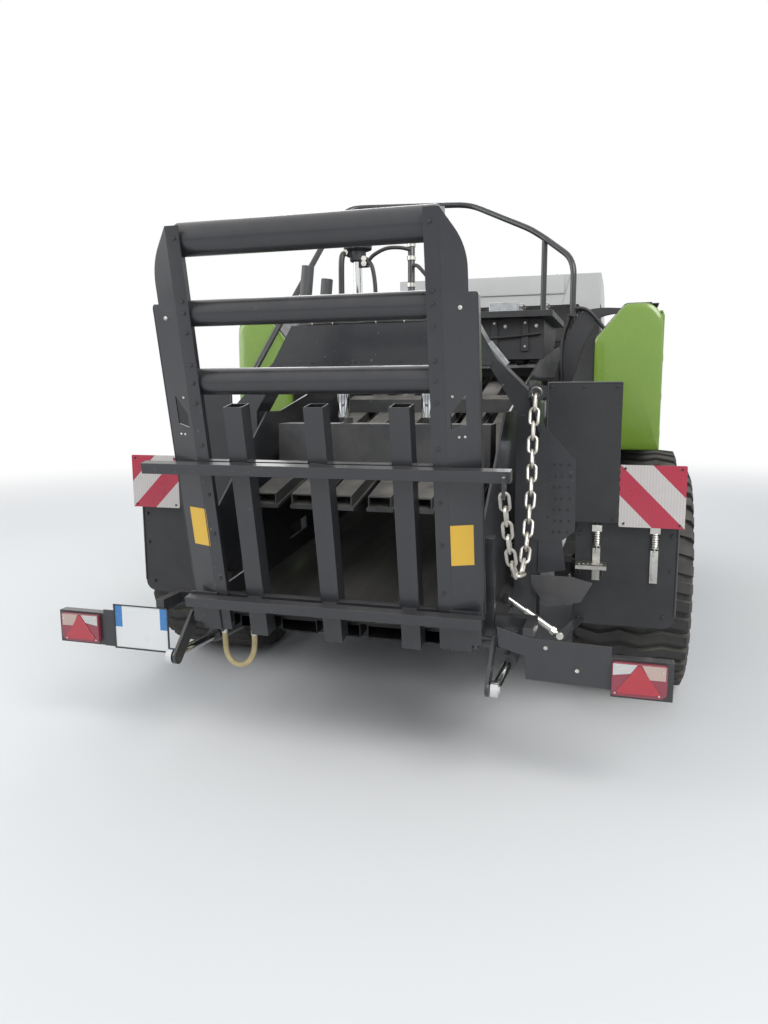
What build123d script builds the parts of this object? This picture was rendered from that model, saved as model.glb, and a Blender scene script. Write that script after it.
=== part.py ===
"""Large square baler, towed, standing on its tandem wheels and parking jack.

Millimetres.  +Y is the front (hitch), -Y the rear (bale chute), +X the
machine's right, Z = 0 the ground.  X = 0 is the centreline.
"""
import os
from math import atan2, cos, degrees, hypot, pi, radians, sin, tan

from build123d import *

os.makedirs("parts", exist_ok=True)

# Stations along the machine
lamp_y = -3550
chamber_rear_y = -3420
portal_y = -2750
rear_axle_y = -2050
side_body_rear_y = -1700
axle_spacing = 1280
deck_rear_y = -1250
rail_pivot_y = -320
roof_rear_y = -250
needle_slot_y = -50
feed_open_y = 60
knotter_y = 300
feed_rotor_y = 850
side_body_front_y = 1300
chamber_front_y = 1350
reel_y = 1440
flywheel_y = 2205
hitch_y = 3812

# Bale chamber, rising to the front
chamber_slope = 6.0
chamber_h = 870
chamber_half = 600
wall_t = 10
rib_depth = 50
floor_top_z = 620
floor_tube_h = 62
floor_plate_t = 8
cross_member_h = 60
roof_t = 10
wall_over_roof = 80
needle_pitch = 200
needle_count = 6
needle_t = 16
needle_slot_w = 30

# Top rails of the chamber
rail_count = 6
rail_w = 110
rail_h = 55
rail_flange_t = 15
rail_pitch = 188
rail_rear_y = -3150
rail_rear_top_z = 1128
rail_beam_top_z = 1440
rail_beam_depth = 160
rail_pin_r = 25

# Press portal round the rear of the chamber
portal_depth = 160
portal_post_w = 110
portal_beam_top_z = 1920
portal_beam_low_z = 1730
portal_shoulder_z = 1480
portal_beam_half = 562
portal_beam_top_half = 457
portal_beam_bend_z = 1743
portal_foot_z = 480
press_rod_x = 217
press_rod_r = 31
press_cap_top_z = 2010
centre_ram_x = -134
centre_ram_top_z = 2220
centre_ram_head_z = 2312

# Chain's eye on the portal and hole on the chute
eye_x = 788
eye_z = 1587

# Bale chute, folded up and leaning back
hinge_y = -3500
hinge_z = 610
chute_lean = 10.7
chute_web_x = 509
chute_web_t = 8
chute_back = 44
chute_flange_w = 46
chute_flange_t = 6
chute_height = 1632
wing_w = 136
wing_top_w = 102
wing_step = 1352
wing_flare = 15.7
chute_pin_r = 20
roller_half = 500
roller_pin_r = 15
chute_tube_w = 80
chute_tube_wall = 6
chute_tube_pitch = 340
chute_tube_out = (-45, 30)
chute_tube_up = (-50, 952)
bar_t = 45
lower_bar_up = (95, 95 + bar_t)
lower_bar_half = 642
upper_bar_up = (687, 687 + bar_t)
upper_bar_half = 757

# Fold cylinders of the chute
ram_x = 702
ram_r = 34
ram_rod_r = 20
ram_base_y = -2750
ram_base_z = 425
ram_lever = 200
lever_t = 14
chute_travel = 92

# Wheels
tyre_r = 595
tyre_w = 563
tyre_inner_x = 922
tyre_sides = 32
bead_half = 215
rim_r = 286
rim_flange_h = 22
spindle_r = 45
lug_count = 16
lug_h = 20
rocker_inner_x = 795
rocker_t = 85

# Side bodies with their doors
side_inner_x = 955
side_outer_x = 1300
side_low_z = 1250
side_shoulder_z = 1890
side_crest_x = 1120
side_crest_z = 2085
sheet_t = 8
shelf_z = 1640
door_hinge_x = 1316
door_hinge_z = 2030
door_pin_r = 6

# Knotter deck and platform
deck_half = 620
platform_z = 2060
platform_t = 40
platform_front_y = -350

# Needle yoke
yoke_y = -850
yoke_z = 1660
yoke_arm_x = 690
yoke_arm_t = 26
yoke_rest = -115.9
needle_span = 66.7

# Feed housing, pick-up and wind guard
feed_half = 600
feed_rotor_z = 600
feed_rotor_r = 190
pickup_half = 1040
pickup_pivot_y = 700
pickup_pivot_z = 750
pickup_pivot_r = 45
reel_z = 500
reel_tip_r = 300
band_r = 215
tine_rows = 4
tines_per_row = 16

# Drive
flywheel_r = 430
flywheel_z = 1220
flywheel_w = 110
shaft_r = 35
stub_r = 22.2
stub_len = 90

# Drawbar, hitch and jack
beam_w = 220
hitch_z = 470
hitch_bore_r = 25.5
hitch_eye_r = 55
hitch_eye_h = 70
jack_y = 3150

# Hose loop under the rear of the floor
hose_ends = (-590, -440)
hose_y = -3385
hose_r = 12.5
gland_h = 25

# Clearances
pin_gap = 0.06
seat_gap = 0.3
side_gap = 2.0


def keep(part, name):
    """Label a finished piece and write it to its own file."""
    part.label = name
    export_step(part, f"parts/{name}.step")


def block(x, y, z, mode=Mode.ADD):
    """Box between two X, two Y and two Z values."""
    with Locations((sum(x) / 2, sum(y) / 2, sum(z) / 2)):
        return Box(abs(x[1] - x[0]), abs(y[1] - y[0]), abs(z[1] - z[0]), mode=mode)


def rod(start, end, radius, mode=Mode.ADD):
    """Round bar from one point to another."""
    axis = Vector(*end) - Vector(*start)
    with BuildSketch(Plane(origin=start, z_dir=axis)) as section:
        Circle(radius)
    extrude(section.sketch, amount=axis.length, mode=mode)


def side_plate(points, x0, x1, mode=Mode.ADD):
    """Plate with an outline in the Y-Z plane, from x0 to x1."""
    with BuildSketch(Plane(origin=(x0, 0, 0), x_dir=(0, 1, 0), z_dir=(1, 0, 0))) as section:
        with BuildLine():
            Polyline(*points, close=True)
        make_face()
    extrude(section.sketch, amount=abs(x1 - x0), dir=(1 if x1 > x0 else -1, 0, 0), mode=mode)


def cross_plate(points, y0, y1, mode=Mode.ADD):
    """Plate with an outline in the X-Z plane, from y0 to y1."""
    with BuildSketch(Plane(origin=(0, y0, 0), x_dir=(1, 0, 0), z_dir=(0, -1, 0))) as section:
        with BuildLine():
            Polyline(*points, close=True)
        make_face()
    extrude(section.sketch, amount=abs(y1 - y0), dir=(0, 1 if y1 > y0 else -1, 0), mode=mode)


# Derived places
slope = radians(chamber_slope)
rail_t = rail_h + rail_flange_t
floor_t = floor_plate_t + floor_tube_h
wall_outer_x = chamber_half + wall_t
rib_x = wall_outer_x + rib_depth
front_axle_y = rear_axle_y + axle_spacing
tandem_y = (rear_axle_y + front_axle_y) / 2
wheel_x = tyre_inner_x + tyre_w / 2
portal_rear_y = portal_y - portal_depth / 2
portal_front_y = portal_y + portal_depth / 2
outrigger_z = (1000, 1050)
needle_xs = [needle_pitch * (i - (needle_count - 1) / 2) for i in range(needle_count)]
chamber_plane = Plane(origin=(0, chamber_rear_y, floor_top_z), x_dir=(1, 0, 0), z_dir=(0, -sin(slope), cos(slope)))


def floor_z(y):
    """Height of the chamber's floor at a station."""
    return floor_top_z + (y - chamber_rear_y) * tan(slope)


def along(y):
    """Distance along the sloping chamber of a station."""
    return (y - chamber_rear_y) / cos(slope)


def chamber_block(x, y, up, mode=Mode.ADD):
    """Box square to the chamber: X, stations, heights over the floor."""
    with BuildSketch(chamber_plane.offset(min(up))) as section:
        with Locations((sum(x) / 2, (along(y[0]) + along(y[1])) / 2)):
            Rectangle(abs(x[1] - x[0]), abs(along(y[1]) - along(y[0])))
    extrude(section.sketch, amount=abs(up[1] - up[0]), mode=mode)


roof_up = chamber_h / cos(slope)
rail_slope = atan2(floor_z(rail_pivot_y) + chamber_h - 4 - rail_rear_top_z, rail_pivot_y - rail_rear_y)


def rail_top(y):
    """Height of the rails' upper face at a station."""
    return rail_rear_top_z + (y - rail_rear_y) * tan(rail_slope)


rail_pivot_z = rail_top(rail_pivot_y) - rail_t / 2
needle_r = hypot(needle_slot_y - yoke_y, yoke_z - floor_z(needle_slot_y))


def on_yoke(angle, radius):
    """Y and Z of a point on a circle about the yoke's pivot."""
    return (yoke_y + radius * cos(radians(angle)), yoke_z + radius * sin(radians(angle)))


# Chamber: side walls with ribs, floor, roof
with BuildPart() as chamber_walls:
    wall_top = chamber_h + wall_over_roof
    side_plate(
        [(chamber_rear_y, floor_top_z - floor_t), (chamber_front_y, floor_z(chamber_front_y) - floor_t),
         (chamber_front_y, floor_z(chamber_front_y) + wall_top), (deck_rear_y - 100, floor_z(deck_rear_y - 100) + wall_top),
         (portal_front_y, portal_shoulder_z + 20), (portal_rear_y, portal_shoulder_z + 20), (chamber_rear_y, 1050)],
        chamber_half, wall_outer_x)
    side_plate(
        [(chamber_rear_y + 1, hinge_z - 40), (chamber_rear_y + 1, hinge_z + 60),
         (hinge_y, hinge_z + 36), (hinge_y - 35, hinge_z + 12), (hinge_y - 35, hinge_z - 12),
         (hinge_y, hinge_z - 36)],
        chamber_half, wall_outer_x)
    for slot_y in (-3230, -2450, -2100, -1750, -1400):
        chamber_block((chamber_half, wall_outer_x), (slot_y - 120, slot_y + 120), (90, 160), Mode.SUBTRACT)
    for rib_y, rib_up in ((-3390, 400), (-2250, 700), (-1600, 800), (-950, 350), (1000, 880)):
        chamber_block((wall_outer_x, rib_x), (rib_y - 25, rib_y + 25), (-floor_t, rib_up))
    chamber_block((wall_outer_x, rib_x), (chamber_rear_y + 60, chamber_front_y - 20), (-floor_t, -floor_t + 50))
    chamber_block((chamber_half - 30, chamber_half), (-120, chamber_front_y - 20), (380, 420))
    for pivot_y, pivot_z, pivot_r in ((hinge_y, hinge_z, chute_pin_r), (rail_pivot_y, rail_pivot_z, rail_pin_r),
                                      (yoke_y, yoke_z, 30)):
        rod((chamber_half, pivot_y, pivot_z), (wall_outer_x, pivot_y, pivot_z), pivot_r + pin_gap, Mode.SUBTRACT)
    mirror(about=Plane.YZ)
keep(chamber_walls.part, "chamber_walls")

with BuildPart() as chamber_floor:
    edges = [-chamber_half]
    for x in needle_xs:
        edges += [x - needle_slot_w / 2, x + needle_slot_w / 2]
    edges.append(chamber_half)
    for left, right in zip(edges[::2], edges[1::2]):
        chamber_block((left, right), (chamber_rear_y, feed_open_y), (-floor_t, -floor_plate_t))
        if right - left > 100:
            chamber_block((left + 6, right - 6), (chamber_rear_y, chamber_rear_y + 400),
                          (-floor_t + 6, -floor_plate_t - 6), Mode.SUBTRACT)
    chamber_block((-chamber_half, chamber_half), (chamber_rear_y, feed_open_y), (-floor_plate_t, 0))
    chamber_block((-chamber_half, chamber_half), (650, chamber_front_y), (-floor_t, 0))
    for x in needle_xs:
        chamber_block((x - needle_slot_w / 2, x + needle_slot_w / 2), (needle_slot_y - 190, feed_open_y),
                      (-floor_t, 0), Mode.SUBTRACT)
    for member_y in (-3220, portal_y, -2100, tandem_y - 15, -800, needle_slot_y - 310):
        chamber_block((-rib_x, rib_x), (member_y - 50, member_y + 50), (-floor_t - cross_member_h, -floor_t))
    chamber_block((-rib_x, rib_x), (1200, 1300), (-floor_t - cross_member_h, -floor_t))
    for x in hose_ends:
        chamber_block((x - 16, x + 16), (hose_y - 16, hose_y + 16), (-floor_t - gland_h, -floor_t))
keep(chamber_floor.part, "chamber_floor")

with BuildPart() as chamber_roof:
    chamber_block((-chamber_half, chamber_half), (roof_rear_y, chamber_front_y), (roof_up, roof_up + roof_t))
    for x in needle_xs:
        chamber_block((x - needle_slot_w / 2, x + needle_slot_w / 2), (40, 300), (roof_up, roof_up + roof_t),
                      Mode.SUBTRACT)
    for beam_y in (-200, 520, 900, 1300):
        chamber_block((-chamber_half, chamber_half), (beam_y - 40, beam_y + 40), (roof_up + roof_t, roof_up + 70))
keep(chamber_roof.part, "chamber_roof")

# Press portal
with BuildPart() as press_portal:
    outer_x = rib_x + portal_post_w
    cross_plate(
        [(rib_x, portal_foot_z), (outer_x, portal_foot_z), (outer_x, portal_shoulder_z + 60),
         (portal_beam_half, portal_beam_bend_z), (portal_beam_top_half, portal_beam_top_z),
         (-portal_beam_top_half, portal_beam_top_z), (-portal_beam_half, portal_beam_bend_z),
         (-outer_x, portal_shoulder_z + 60), (-outer_x, portal_foot_z), (-rib_x, portal_foot_z),
         (-rib_x, portal_shoulder_z + 20), (-portal_beam_half + 45, portal_beam_low_z),
         (portal_beam_half - 45, portal_beam_low_z), (rib_x, portal_shoulder_z + 20)],
        portal_rear_y, portal_front_y)
    block((-portal_beam_half + 20, portal_beam_half - 20), (portal_rear_y - 25, portal_front_y + 25),
          (portal_beam_low_z - 15, portal_beam_low_z))
    for x in (-press_rod_x, press_rod_x):
        rod((x, portal_y, portal_beam_top_z), (x, portal_y, press_cap_top_z), 55)
        rod((x, portal_y, portal_beam_low_z - 15), (x, portal_y, press_cap_top_z - 12),
            press_rod_r + pin_gap, Mode.SUBTRACT)
    rod((135, portal_y, portal_beam_top_z), (135, portal_y, 2330), 17)
    for side in (-1, 1):
        bracket_x = side * (ram_x + 20)
        block((bracket_x, bracket_x + side * 14), (ram_base_y - 40, ram_base_y + 40), (ram_base_z - 40, portal_foot_z))
        rod((side * (ram_x - 13), ram_base_y, ram_base_z), (bracket_x, ram_base_y, ram_base_z), 18)
    side_plate([(portal_rear_y, 1380), (portal_rear_y, 1640), (-3200, 1640), (-3225, 1570)], 756, 768)
    block((756, 800), (-3231, -3195), (1606, 1620))
    bracket_t = 6
    cross_plate([(740, 1440), (803, 1427), (934, 1280), (938, 956), (864, 895), (740, 906)],
                portal_rear_y - 2 * bracket_t, portal_rear_y - bracket_t)
    block((740, 790), (portal_rear_y - bracket_t, portal_rear_y), (906, 1440))
    rod((eye_x, -3228, eye_z), (eye_x, -3240, eye_z), 24)
    rod((eye_x, -3228, eye_z), (eye_x, -3240, eye_z), 16, Mode.SUBTRACT)
keep(press_portal.part, "press_portal")

# Top rails with their cross beams, hinged at the front
with BuildPart() as top_rails:
    def rail_band(y0, y1, x0, x1, top, low):
        """Bar that follows the rails' slope between two depths under their upper face."""
        side_plate([(y0, rail_top(y0) - low), (y1, rail_top(y1) - low), (y1, rail_top(y1) - top),
                    (y0, rail_top(y0) - top)], x0, x1)

    for i in range(rail_count):
        centre = rail_pitch * (i - (rail_count - 1) / 2) - 2
        rail_band(rail_rear_y, rail_pivot_y, centre - rail_w / 2, centre + rail_w / 2, 0, rail_h)
        rail_band(rail_rear_y, rail_pivot_y, centre - rail_w / 2 - 8, centre + rail_w / 2 + 8, rail_h, rail_t)
        side_plate([(rail_rear_y, rail_top(rail_rear_y) - 6), (rail_rear_y + 150, rail_top(rail_rear_y + 150) - 6),
                    (rail_rear_y + 150, rail_top(rail_rear_y + 150) - rail_h + 6),
                    (rail_rear_y, rail_top(rail_rear_y) - rail_h + 6)],
                   centre - rail_w / 2 + 6, centre + rail_w / 2 - 6, Mode.SUBTRACT)
    beam = (portal_y - rail_beam_depth / 2, portal_y + rail_beam_depth / 2)
    side_plate([(beam[0], rail_top(beam[0])), (beam[1], rail_top(beam[1])), (beam[1], rail_beam_top_z),
                (beam[0], rail_beam_top_z)], -540, 540)
    rail_band(-1750, -1650, -540, 540, -80, 0)
    rail_band(-800, -700, -540, 540, -60, 0)
    rod((-wall_outer_x, rail_pivot_y, rail_pivot_z), (wall_outer_x, rail_pivot_y, rail_pivot_z), rail_pin_r)
    for x in (-press_rod_x, press_rod_x):
        lug_x = x + 14 + side_gap
        block((lug_x, lug_x + 16), (portal_y - 45, portal_y + 45), (rail_beam_top_z, rail_beam_top_z + 28))
keep(top_rails.part, "top_rails")

with BuildPart() as press_rods:
    for x in (-press_rod_x, press_rod_x):
        rod((x, portal_y, rail_beam_top_z + 31), (x, portal_y, portal_beam_low_z + 20), press_rod_r)
        block((x - 14, x + 14), (portal_y - 30, portal_y + 30), (rail_beam_top_z + 10, rail_beam_top_z + 33))
keep(press_rods.part, "press_rods")

with BuildPart() as centre_ram:
    rod((centre_ram_x, portal_y, portal_beam_top_z), (centre_ram_x, portal_y, centre_ram_top_z), 23)
    rod((centre_ram_x, portal_y, centre_ram_top_z), (centre_ram_x, portal_y, centre_ram_head_z), 70)
keep(centre_ram.part, "centre_ram")

# Plunger with needle slots and grooves for its guide rails
plunger_face_y = 640
plunger_back_y = 1240
plunger_gap = 10
with BuildPart() as plunger:
    top = roof_up - plunger_gap
    half = chamber_half - plunger_gap
    chamber_block((-half, half), (plunger_face_y, plunger_back_y), (plunger_gap, top))
    for x in needle_xs:
        chamber_block((x - 22, x + 22), (plunger_face_y, plunger_face_y + 360), (plunger_gap, top), Mode.SUBTRACT)
    for side in (-1, 1):
        chamber_block((side * (chamber_half - 36), side * half), (plunger_face_y, plunger_back_y),
                      (374, 420 + seat_gap), Mode.SUBTRACT)
    chamber_block((-420, 420), (plunger_face_y + 420, plunger_back_y), (120, top - 110), Mode.SUBTRACT)
keep(plunger.part, "plunger")

# Chute
lean = radians(chute_lean)
chute_plane = Plane(origin=(0, hinge_y, hinge_z), x_dir=(1, 0, 0), z_dir=(0, -cos(lean), -sin(lean)))


def chute_point(x, up, out):
    """Machine coordinates of a point given in the chute's own plane."""
    return (x, hinge_y - up * sin(lean) - out * cos(lean), hinge_z + up * cos(lean) - out * sin(lean))


def chute_block(x, up, out, mode=Mode.ADD):
    """Box in the chute's own plane: X, height along the chute, distance outwards."""
    with BuildSketch(chute_plane.offset(out[0])) as section:
        with Locations((sum(x) / 2, sum(up) / 2)):
            Rectangle(abs(x[1] - x[0]), abs(up[1] - up[0]))
    extrude(section.sketch, amount=out[1] - out[0], mode=mode)


# Rollers, lowest first: height along the chute, distance outwards, radius
roller_table = ((1045, -20, 52), (1310, -18, 50), (1580, -30, 62))
flange_out = (chute_back - chute_flange_t, chute_back)
foot_out = (chute_back, chute_back + chute_web_t)
flare = radians(wing_flare)
wing_edge_x = chute_web_x + wing_w * cos(flare)
wing_edge_out = chute_back - wing_w * sin(flare)
lug_x = ram_x - ram_rod_r - side_gap - lever_t
lever_y = hinge_y - ram_lever * sin(radians(chute_travel / 2))
lever_z = hinge_z - ram_lever * cos(radians(chute_travel / 2))

with BuildPart() as chute_sides:
    chute_block((chute_web_x, chute_web_x + chute_web_t), (-40, chute_height), (-62, chute_back))
    chute_block((chute_web_x - chute_flange_w, chute_web_x), (-25, chute_height), flange_out)
    chute_block((chute_web_x, chute_web_x + 85), (-25, 150), foot_out)
    chute_block((chute_web_x + 85, wing_edge_x - 6), (5, 150), foot_out)
    wing_plane = Plane(origin=chute_point(chute_web_x, 0, chute_back),
                       x_dir=(cos(flare), sin(flare) * cos(lean), sin(flare) * sin(lean)),
                       z_dir=Vector(-sin(flare), cos(flare) * cos(lean), cos(flare) * sin(lean)))
    with BuildSketch(wing_plane):
        with BuildLine():
            Polyline((wing_top_w, 206 - chute_height), (wing_top_w, -wing_step), (wing_w - 8, -wing_step),
                     (wing_w, 8 - wing_step), (wing_w, -100), (0, -100), (0, -chute_height), (10, -chute_height),
                     (58, 68 - chute_height))
            TangentArc((58, 68 - chute_height), (wing_top_w, 206 - chute_height), tangent=(48, 68))
        make_face()
        with BuildLine():
            Polyline((27, -871), (84, -884), (84, -997), (27, -927), close=True)
        make_face(mode=Mode.SUBTRACT)
    extrude(amount=chute_flange_t)
    chute_block((wing_edge_x - 4, wing_edge_x), (110, wing_step - 12), (wing_edge_out - 38, wing_edge_out + 2))
    rod((chute_web_x, hinge_y, hinge_z), (lug_x + lever_t, hinge_y, hinge_z), chute_pin_r)
    for up, out, radius in roller_table:
        rod(chute_point(chute_web_x, up, out), chute_point(chute_web_x + chute_web_t, up, out),
            roller_pin_r + pin_gap, Mode.SUBTRACT)
    with BuildSketch(Plane(origin=(lug_x, 0, 0), x_dir=(0, 1, 0), z_dir=(1, 0, 0))):
        with Locations(((hinge_y + lever_y) / 2, (hinge_z + lever_z) / 2)):
            SlotCenterToCenter(ram_lever, 66, rotation=degrees(atan2(hinge_z - lever_z, hinge_y - lever_y)))
    extrude(amount=lever_t)
    mirror(about=Plane.YZ)
keep(chute_sides.part, "chute_sides")

with BuildPart() as chute_grid:
    tube_xs = [i * chute_tube_pitch for i in (-1, 0, 1)]
    half = chute_tube_w / 2
    bore = chute_tube_wall
    for x in tube_xs:
        chute_block((x - half, x + half), chute_tube_up, chute_tube_out)
    for bar_up in (lower_bar_up, upper_bar_up):
        chute_block((-chute_web_x, chute_web_x), bar_up, (0, chute_tube_out[1]))
    for x in tube_xs:
        chute_block((x - half + bore, x + half - bore), chute_tube_up,
                    (chute_tube_out[0] + bore, chute_tube_out[1] - bore), Mode.SUBTRACT)
    for bar_half, bar_up, back in ((lower_bar_half, lower_bar_up, foot_out[1]),
                                   (upper_bar_half, upper_bar_up, chute_back)):
        chute_block((-bar_half, bar_half), bar_up, (back, back + bar_t))
        for x in tube_xs:
            chute_block((x - 30, x + 30), (bar_up[0] + 4, bar_up[1] - 4), (chute_tube_out[1], back))
    lug_back = chute_back + bar_t
    chute_block((upper_bar_half - 27, upper_bar_half - 15), (640, 722), (lug_back, lug_back + 43))
    lug = chute_point(upper_bar_half - 21, 665, lug_back + 23)
    rod((lug[0] - 10, lug[1], lug[2]), (lug[0] + 10, lug[1], lug[2]), 14, Mode.SUBTRACT)
keep(chute_grid.part, "chute_grid")

for number, (up, out, radius) in enumerate(roller_table, 1):
    with BuildPart() as chute_roller:
        rod(chute_point(-roller_half, up, out), chute_point(roller_half, up, out), radius)
        pin_half = chute_web_x + chute_web_t
        rod(chute_point(-pin_half, up, out), chute_point(pin_half, up, out), roller_pin_r)
    keep(chute_roller.part, f"chute_roller_{number}")

# Fold cylinders
ram_axis = Vector(0, lever_y - ram_base_y, lever_z - ram_base_z)
ram_len = ram_axis.length
ram_dir = ram_axis.normalized()


def on_ram(x, distance):
    """Point on a fold cylinder's line."""
    return (x, ram_base_y + ram_dir.Y * distance, ram_base_z + ram_dir.Z * distance)


with BuildPart() as fold_barrels:
    for x in (-ram_x, ram_x):
        rod(on_ram(x, 62), on_ram(x, 530), ram_r)
        rod(on_ram(x, 20), on_ram(x, 70), 13)
        rod((x - 13, ram_base_y, ram_base_z), (x + 13, ram_base_y, ram_base_z), 34)
        rod((x - 13, ram_base_y, ram_base_z), (x + 13, ram_base_y, ram_base_z), 18 + pin_gap, Mode.SUBTRACT)
        rod(on_ram(x, 190), on_ram(x, 530), ram_rod_r + pin_gap, Mode.SUBTRACT)
keep(fold_barrels.part, "fold_barrels")

with BuildPart() as fold_rods:
    for x in (-ram_x, ram_x):
        rod(on_ram(x, 490), on_ram(x, ram_len - 20), ram_rod_r)
        rod((x - 14, lever_y, lever_z), (x + 14, lever_y, lever_z), 32)
        side = 1 if x > 0 else -1
        rod((x + side * 14, lever_y, lever_z), (x + side * 20, lever_y, lever_z), 16)
keep(fold_rods.part, "fold_rods")

# Tandem: cross beam under the floor, rocker beams with spindles, wheels
with BuildPart() as axle_beam:
    beam_top = 580
    hanger_top = floor_z(tandem_y - 40) - (floor_t + cross_member_h) / cos(slope)
    block((-rocker_inner_x, rocker_inner_x), (tandem_y - 60, tandem_y + 60), (beam_top - 120, beam_top))
    for side in (-1, 1):
        side_plate([(tandem_y - 40, beam_top), (tandem_y + 40, beam_top),
                    (tandem_y + 40, hanger_top + 80 * tan(slope)), (tandem_y - 40, hanger_top)],
                   side * 480, side * 620)
        rod((side * rocker_inner_x, tandem_y, beam_top - 60),
            (side * (rocker_inner_x + rocker_t), tandem_y, beam_top - 60), 40)
keep(axle_beam.part, "axle_beam")

with BuildPart() as rocker_beams:
    mid_z = beam_top - 60
    side_plate(
        [(rear_axle_y - 70, tyre_r - 60), (rear_axle_y + 60, tyre_r - 70), (tandem_y - 140, mid_z - 75),
         (tandem_y + 140, mid_z - 75), (front_axle_y - 60, tyre_r - 70), (front_axle_y + 70, tyre_r - 60),
         (front_axle_y + 70, tyre_r + 60), (front_axle_y - 60, tyre_r + 65), (tandem_y + 160, mid_z + 90),
         (tandem_y - 160, mid_z + 90), (rear_axle_y + 60, tyre_r + 65), (rear_axle_y - 70, tyre_r + 60)],
        rocker_inner_x, rocker_inner_x + rocker_t)
    rod((rocker_inner_x, tandem_y, mid_z), (rocker_inner_x + rocker_t, tandem_y, mid_z), 40, Mode.SUBTRACT)
    for axle_y in (rear_axle_y, front_axle_y):
        rod((rocker_inner_x + rocker_t, axle_y, tyre_r), (1290, axle_y, tyre_r), spindle_r)
        rod((rocker_inner_x + rocker_t, axle_y, tyre_r), (rocker_inner_x + rocker_t + 20, axle_y, tyre_r), 70)
    mirror(about=Plane.YZ)
keep(rocker_beams.part, "rocker_beams")

half_tyre = tyre_w / 2
tread_r = tyre_r - lug_h
bead_r = (rim_r + seat_gap) / cos(pi / tyre_sides)
shoulder_r = 430
# Tyre's outer profile: distance from the middle, radius
tyre_profile = ((-half_tyre, shoulder_r), (10 - half_tyre, 525), (60 - half_tyre, tread_r), (half_tyre - 60, tread_r),
                (half_tyre - 10, 525), (half_tyre, shoulder_r))


def ring(near, far, mode=Mode.ADD):
    """Many-sided cone between two distances and radii along the wheel's axis."""
    with BuildSketch(Plane.YZ.offset(near[0])) as near_ring:
        RegularPolygon(near[1], tyre_sides)
    with BuildSketch(Plane.YZ.offset(far[0])) as far_ring:
        RegularPolygon(far[1], tyre_sides)
    loft([near_ring.sketch.face(), far_ring.sketch.face()], ruled=True, mode=mode)


with BuildPart() as tyre_master:
    for near, far in zip(tyre_profile, tyre_profile[1:]):
        ring(near, far)
    ring((-half_tyre, shoulder_r), (-bead_half, rim_r + 40), Mode.SUBTRACT)
    ring((bead_half, rim_r + 40), (half_tyre, shoulder_r), Mode.SUBTRACT)
    ring((-bead_half, bead_r), (bead_half, bead_r), Mode.SUBTRACT)
    for row, offset in ((-1, 0), (1, 0.5)):
        spots = [Location((0, 0, 0), (360 / lug_count * (i + offset), 0, 0))
                 * Location((row * 125, 0, tread_r), (0, 0, row * 28)) for i in range(lug_count)]
        with Locations(*spots):
            Box(250, 62, 2 * lug_h - 2)

with BuildPart() as rim_master:
    flange_in, flange_edge = bead_half + seat_gap, bead_half + 10
    hub_r = spindle_r + 40
    with BuildSketch(Plane.XZ):
        with BuildLine():
            Polyline((-flange_edge, rim_r + rim_flange_h), (-flange_edge, rim_r - 14), (10, rim_r - 28), (10, hub_r),
                     (-70, hub_r), (-70, spindle_r + pin_gap), (95, spindle_r + pin_gap), (95, hub_r), (24, hub_r),
                     (24, rim_r - 28), (flange_edge, rim_r - 14), (flange_edge, rim_r + rim_flange_h),
                     (flange_in, rim_r + rim_flange_h), (flange_in, rim_r), (-flange_in, rim_r),
                     (-flange_in, rim_r + rim_flange_h), close=True)
        make_face()
    revolve(axis=Axis.X)

for wheel, x, y in (("rear_left", -wheel_x, rear_axle_y), ("rear_right", wheel_x, rear_axle_y),
                    ("front_left", -wheel_x, front_axle_y), ("front_right", wheel_x, front_axle_y)):
    seat = Location((x, y, tyre_r), (0, 0, 0 if x > 0 else 180))
    with BuildPart() as tyre:
        add(tyre_master.part.moved(seat))
    keep(tyre.part, f"tyre_{wheel}")
    with BuildPart() as rim:
        add(rim_master.part.moved(seat))
    keep(rim.part, f"rim_{wheel}")

# Guards, flaps and boards behind the wheels
with BuildPart() as guard_panels:
    block((796, 1126), (portal_rear_y - 6, portal_rear_y), (1000, 1633))
    block((1120, 1126), (portal_rear_y, portal_rear_y + 60), (1100, 1633))
    with BuildSketch(Plane(origin=(0, portal_rear_y + 50, 0), x_dir=(1, 0, 0), z_dir=(0, -1, 0))) as flap:
        with BuildLine():
            Polyline((1336, 505), (938, 505), (938, 1050), (1392, 1050), (1392, 561))
            ThreePointArc((1392, 561), (1376, 521), (1336, 505))
        make_face()
    extrude(flap.sketch, amount=8, dir=(0, 1, 0))
    mirror(about=Plane.YZ)
keep(guard_panels.part, "rear_guards")

with BuildPart() as warning_boards:
    block((1129, 1411), (portal_rear_y - 3, portal_rear_y), (984, 1266))
    mirror(about=Plane.YZ)
keep(warning_boards.part, "warning_boards")

with BuildPart() as fittings:
    for x in (1030, 1290):
        block((x - 25, x + 25), (portal_rear_y + 38, portal_rear_y + 50), (800, 990))
keep(fittings.part, "spring_latches")

# Tail lamps on their arms
with BuildPart() as lamp_arms:
    for side in (-1, 1):
        block((side * rib_x, side * 830), (-3400, -3350), (640, 690))
        block((side * 790, side * 830), (lamp_y + 8, -3400), (640, 690))
    cross_plate([(689, 689), (806, 655), (1125, 645), (1125, 479), (806, 487), (800, 580), (699, 609)],
                lamp_y, lamp_y + 8)
    block((-830, -790), (lamp_y, lamp_y + 8), (450, 690))
    block((1125, 1347), (lamp_y, lamp_y + 45), (452, 603))
    block((-1347, -1110), (lamp_y, lamp_y + 45), (452, 603))
    block((-1110, -790), (lamp_y, lamp_y + 8), (450, 620))
keep(lamp_arms.part, "lamp_arms")

with BuildPart() as tail_lamps:
    for side in (-1, 1):
        block((side * 1127, side * 1325), (lamp_y - 22, lamp_y), (465, 595))
keep(tail_lamps.part, "tail_lamps")

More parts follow.
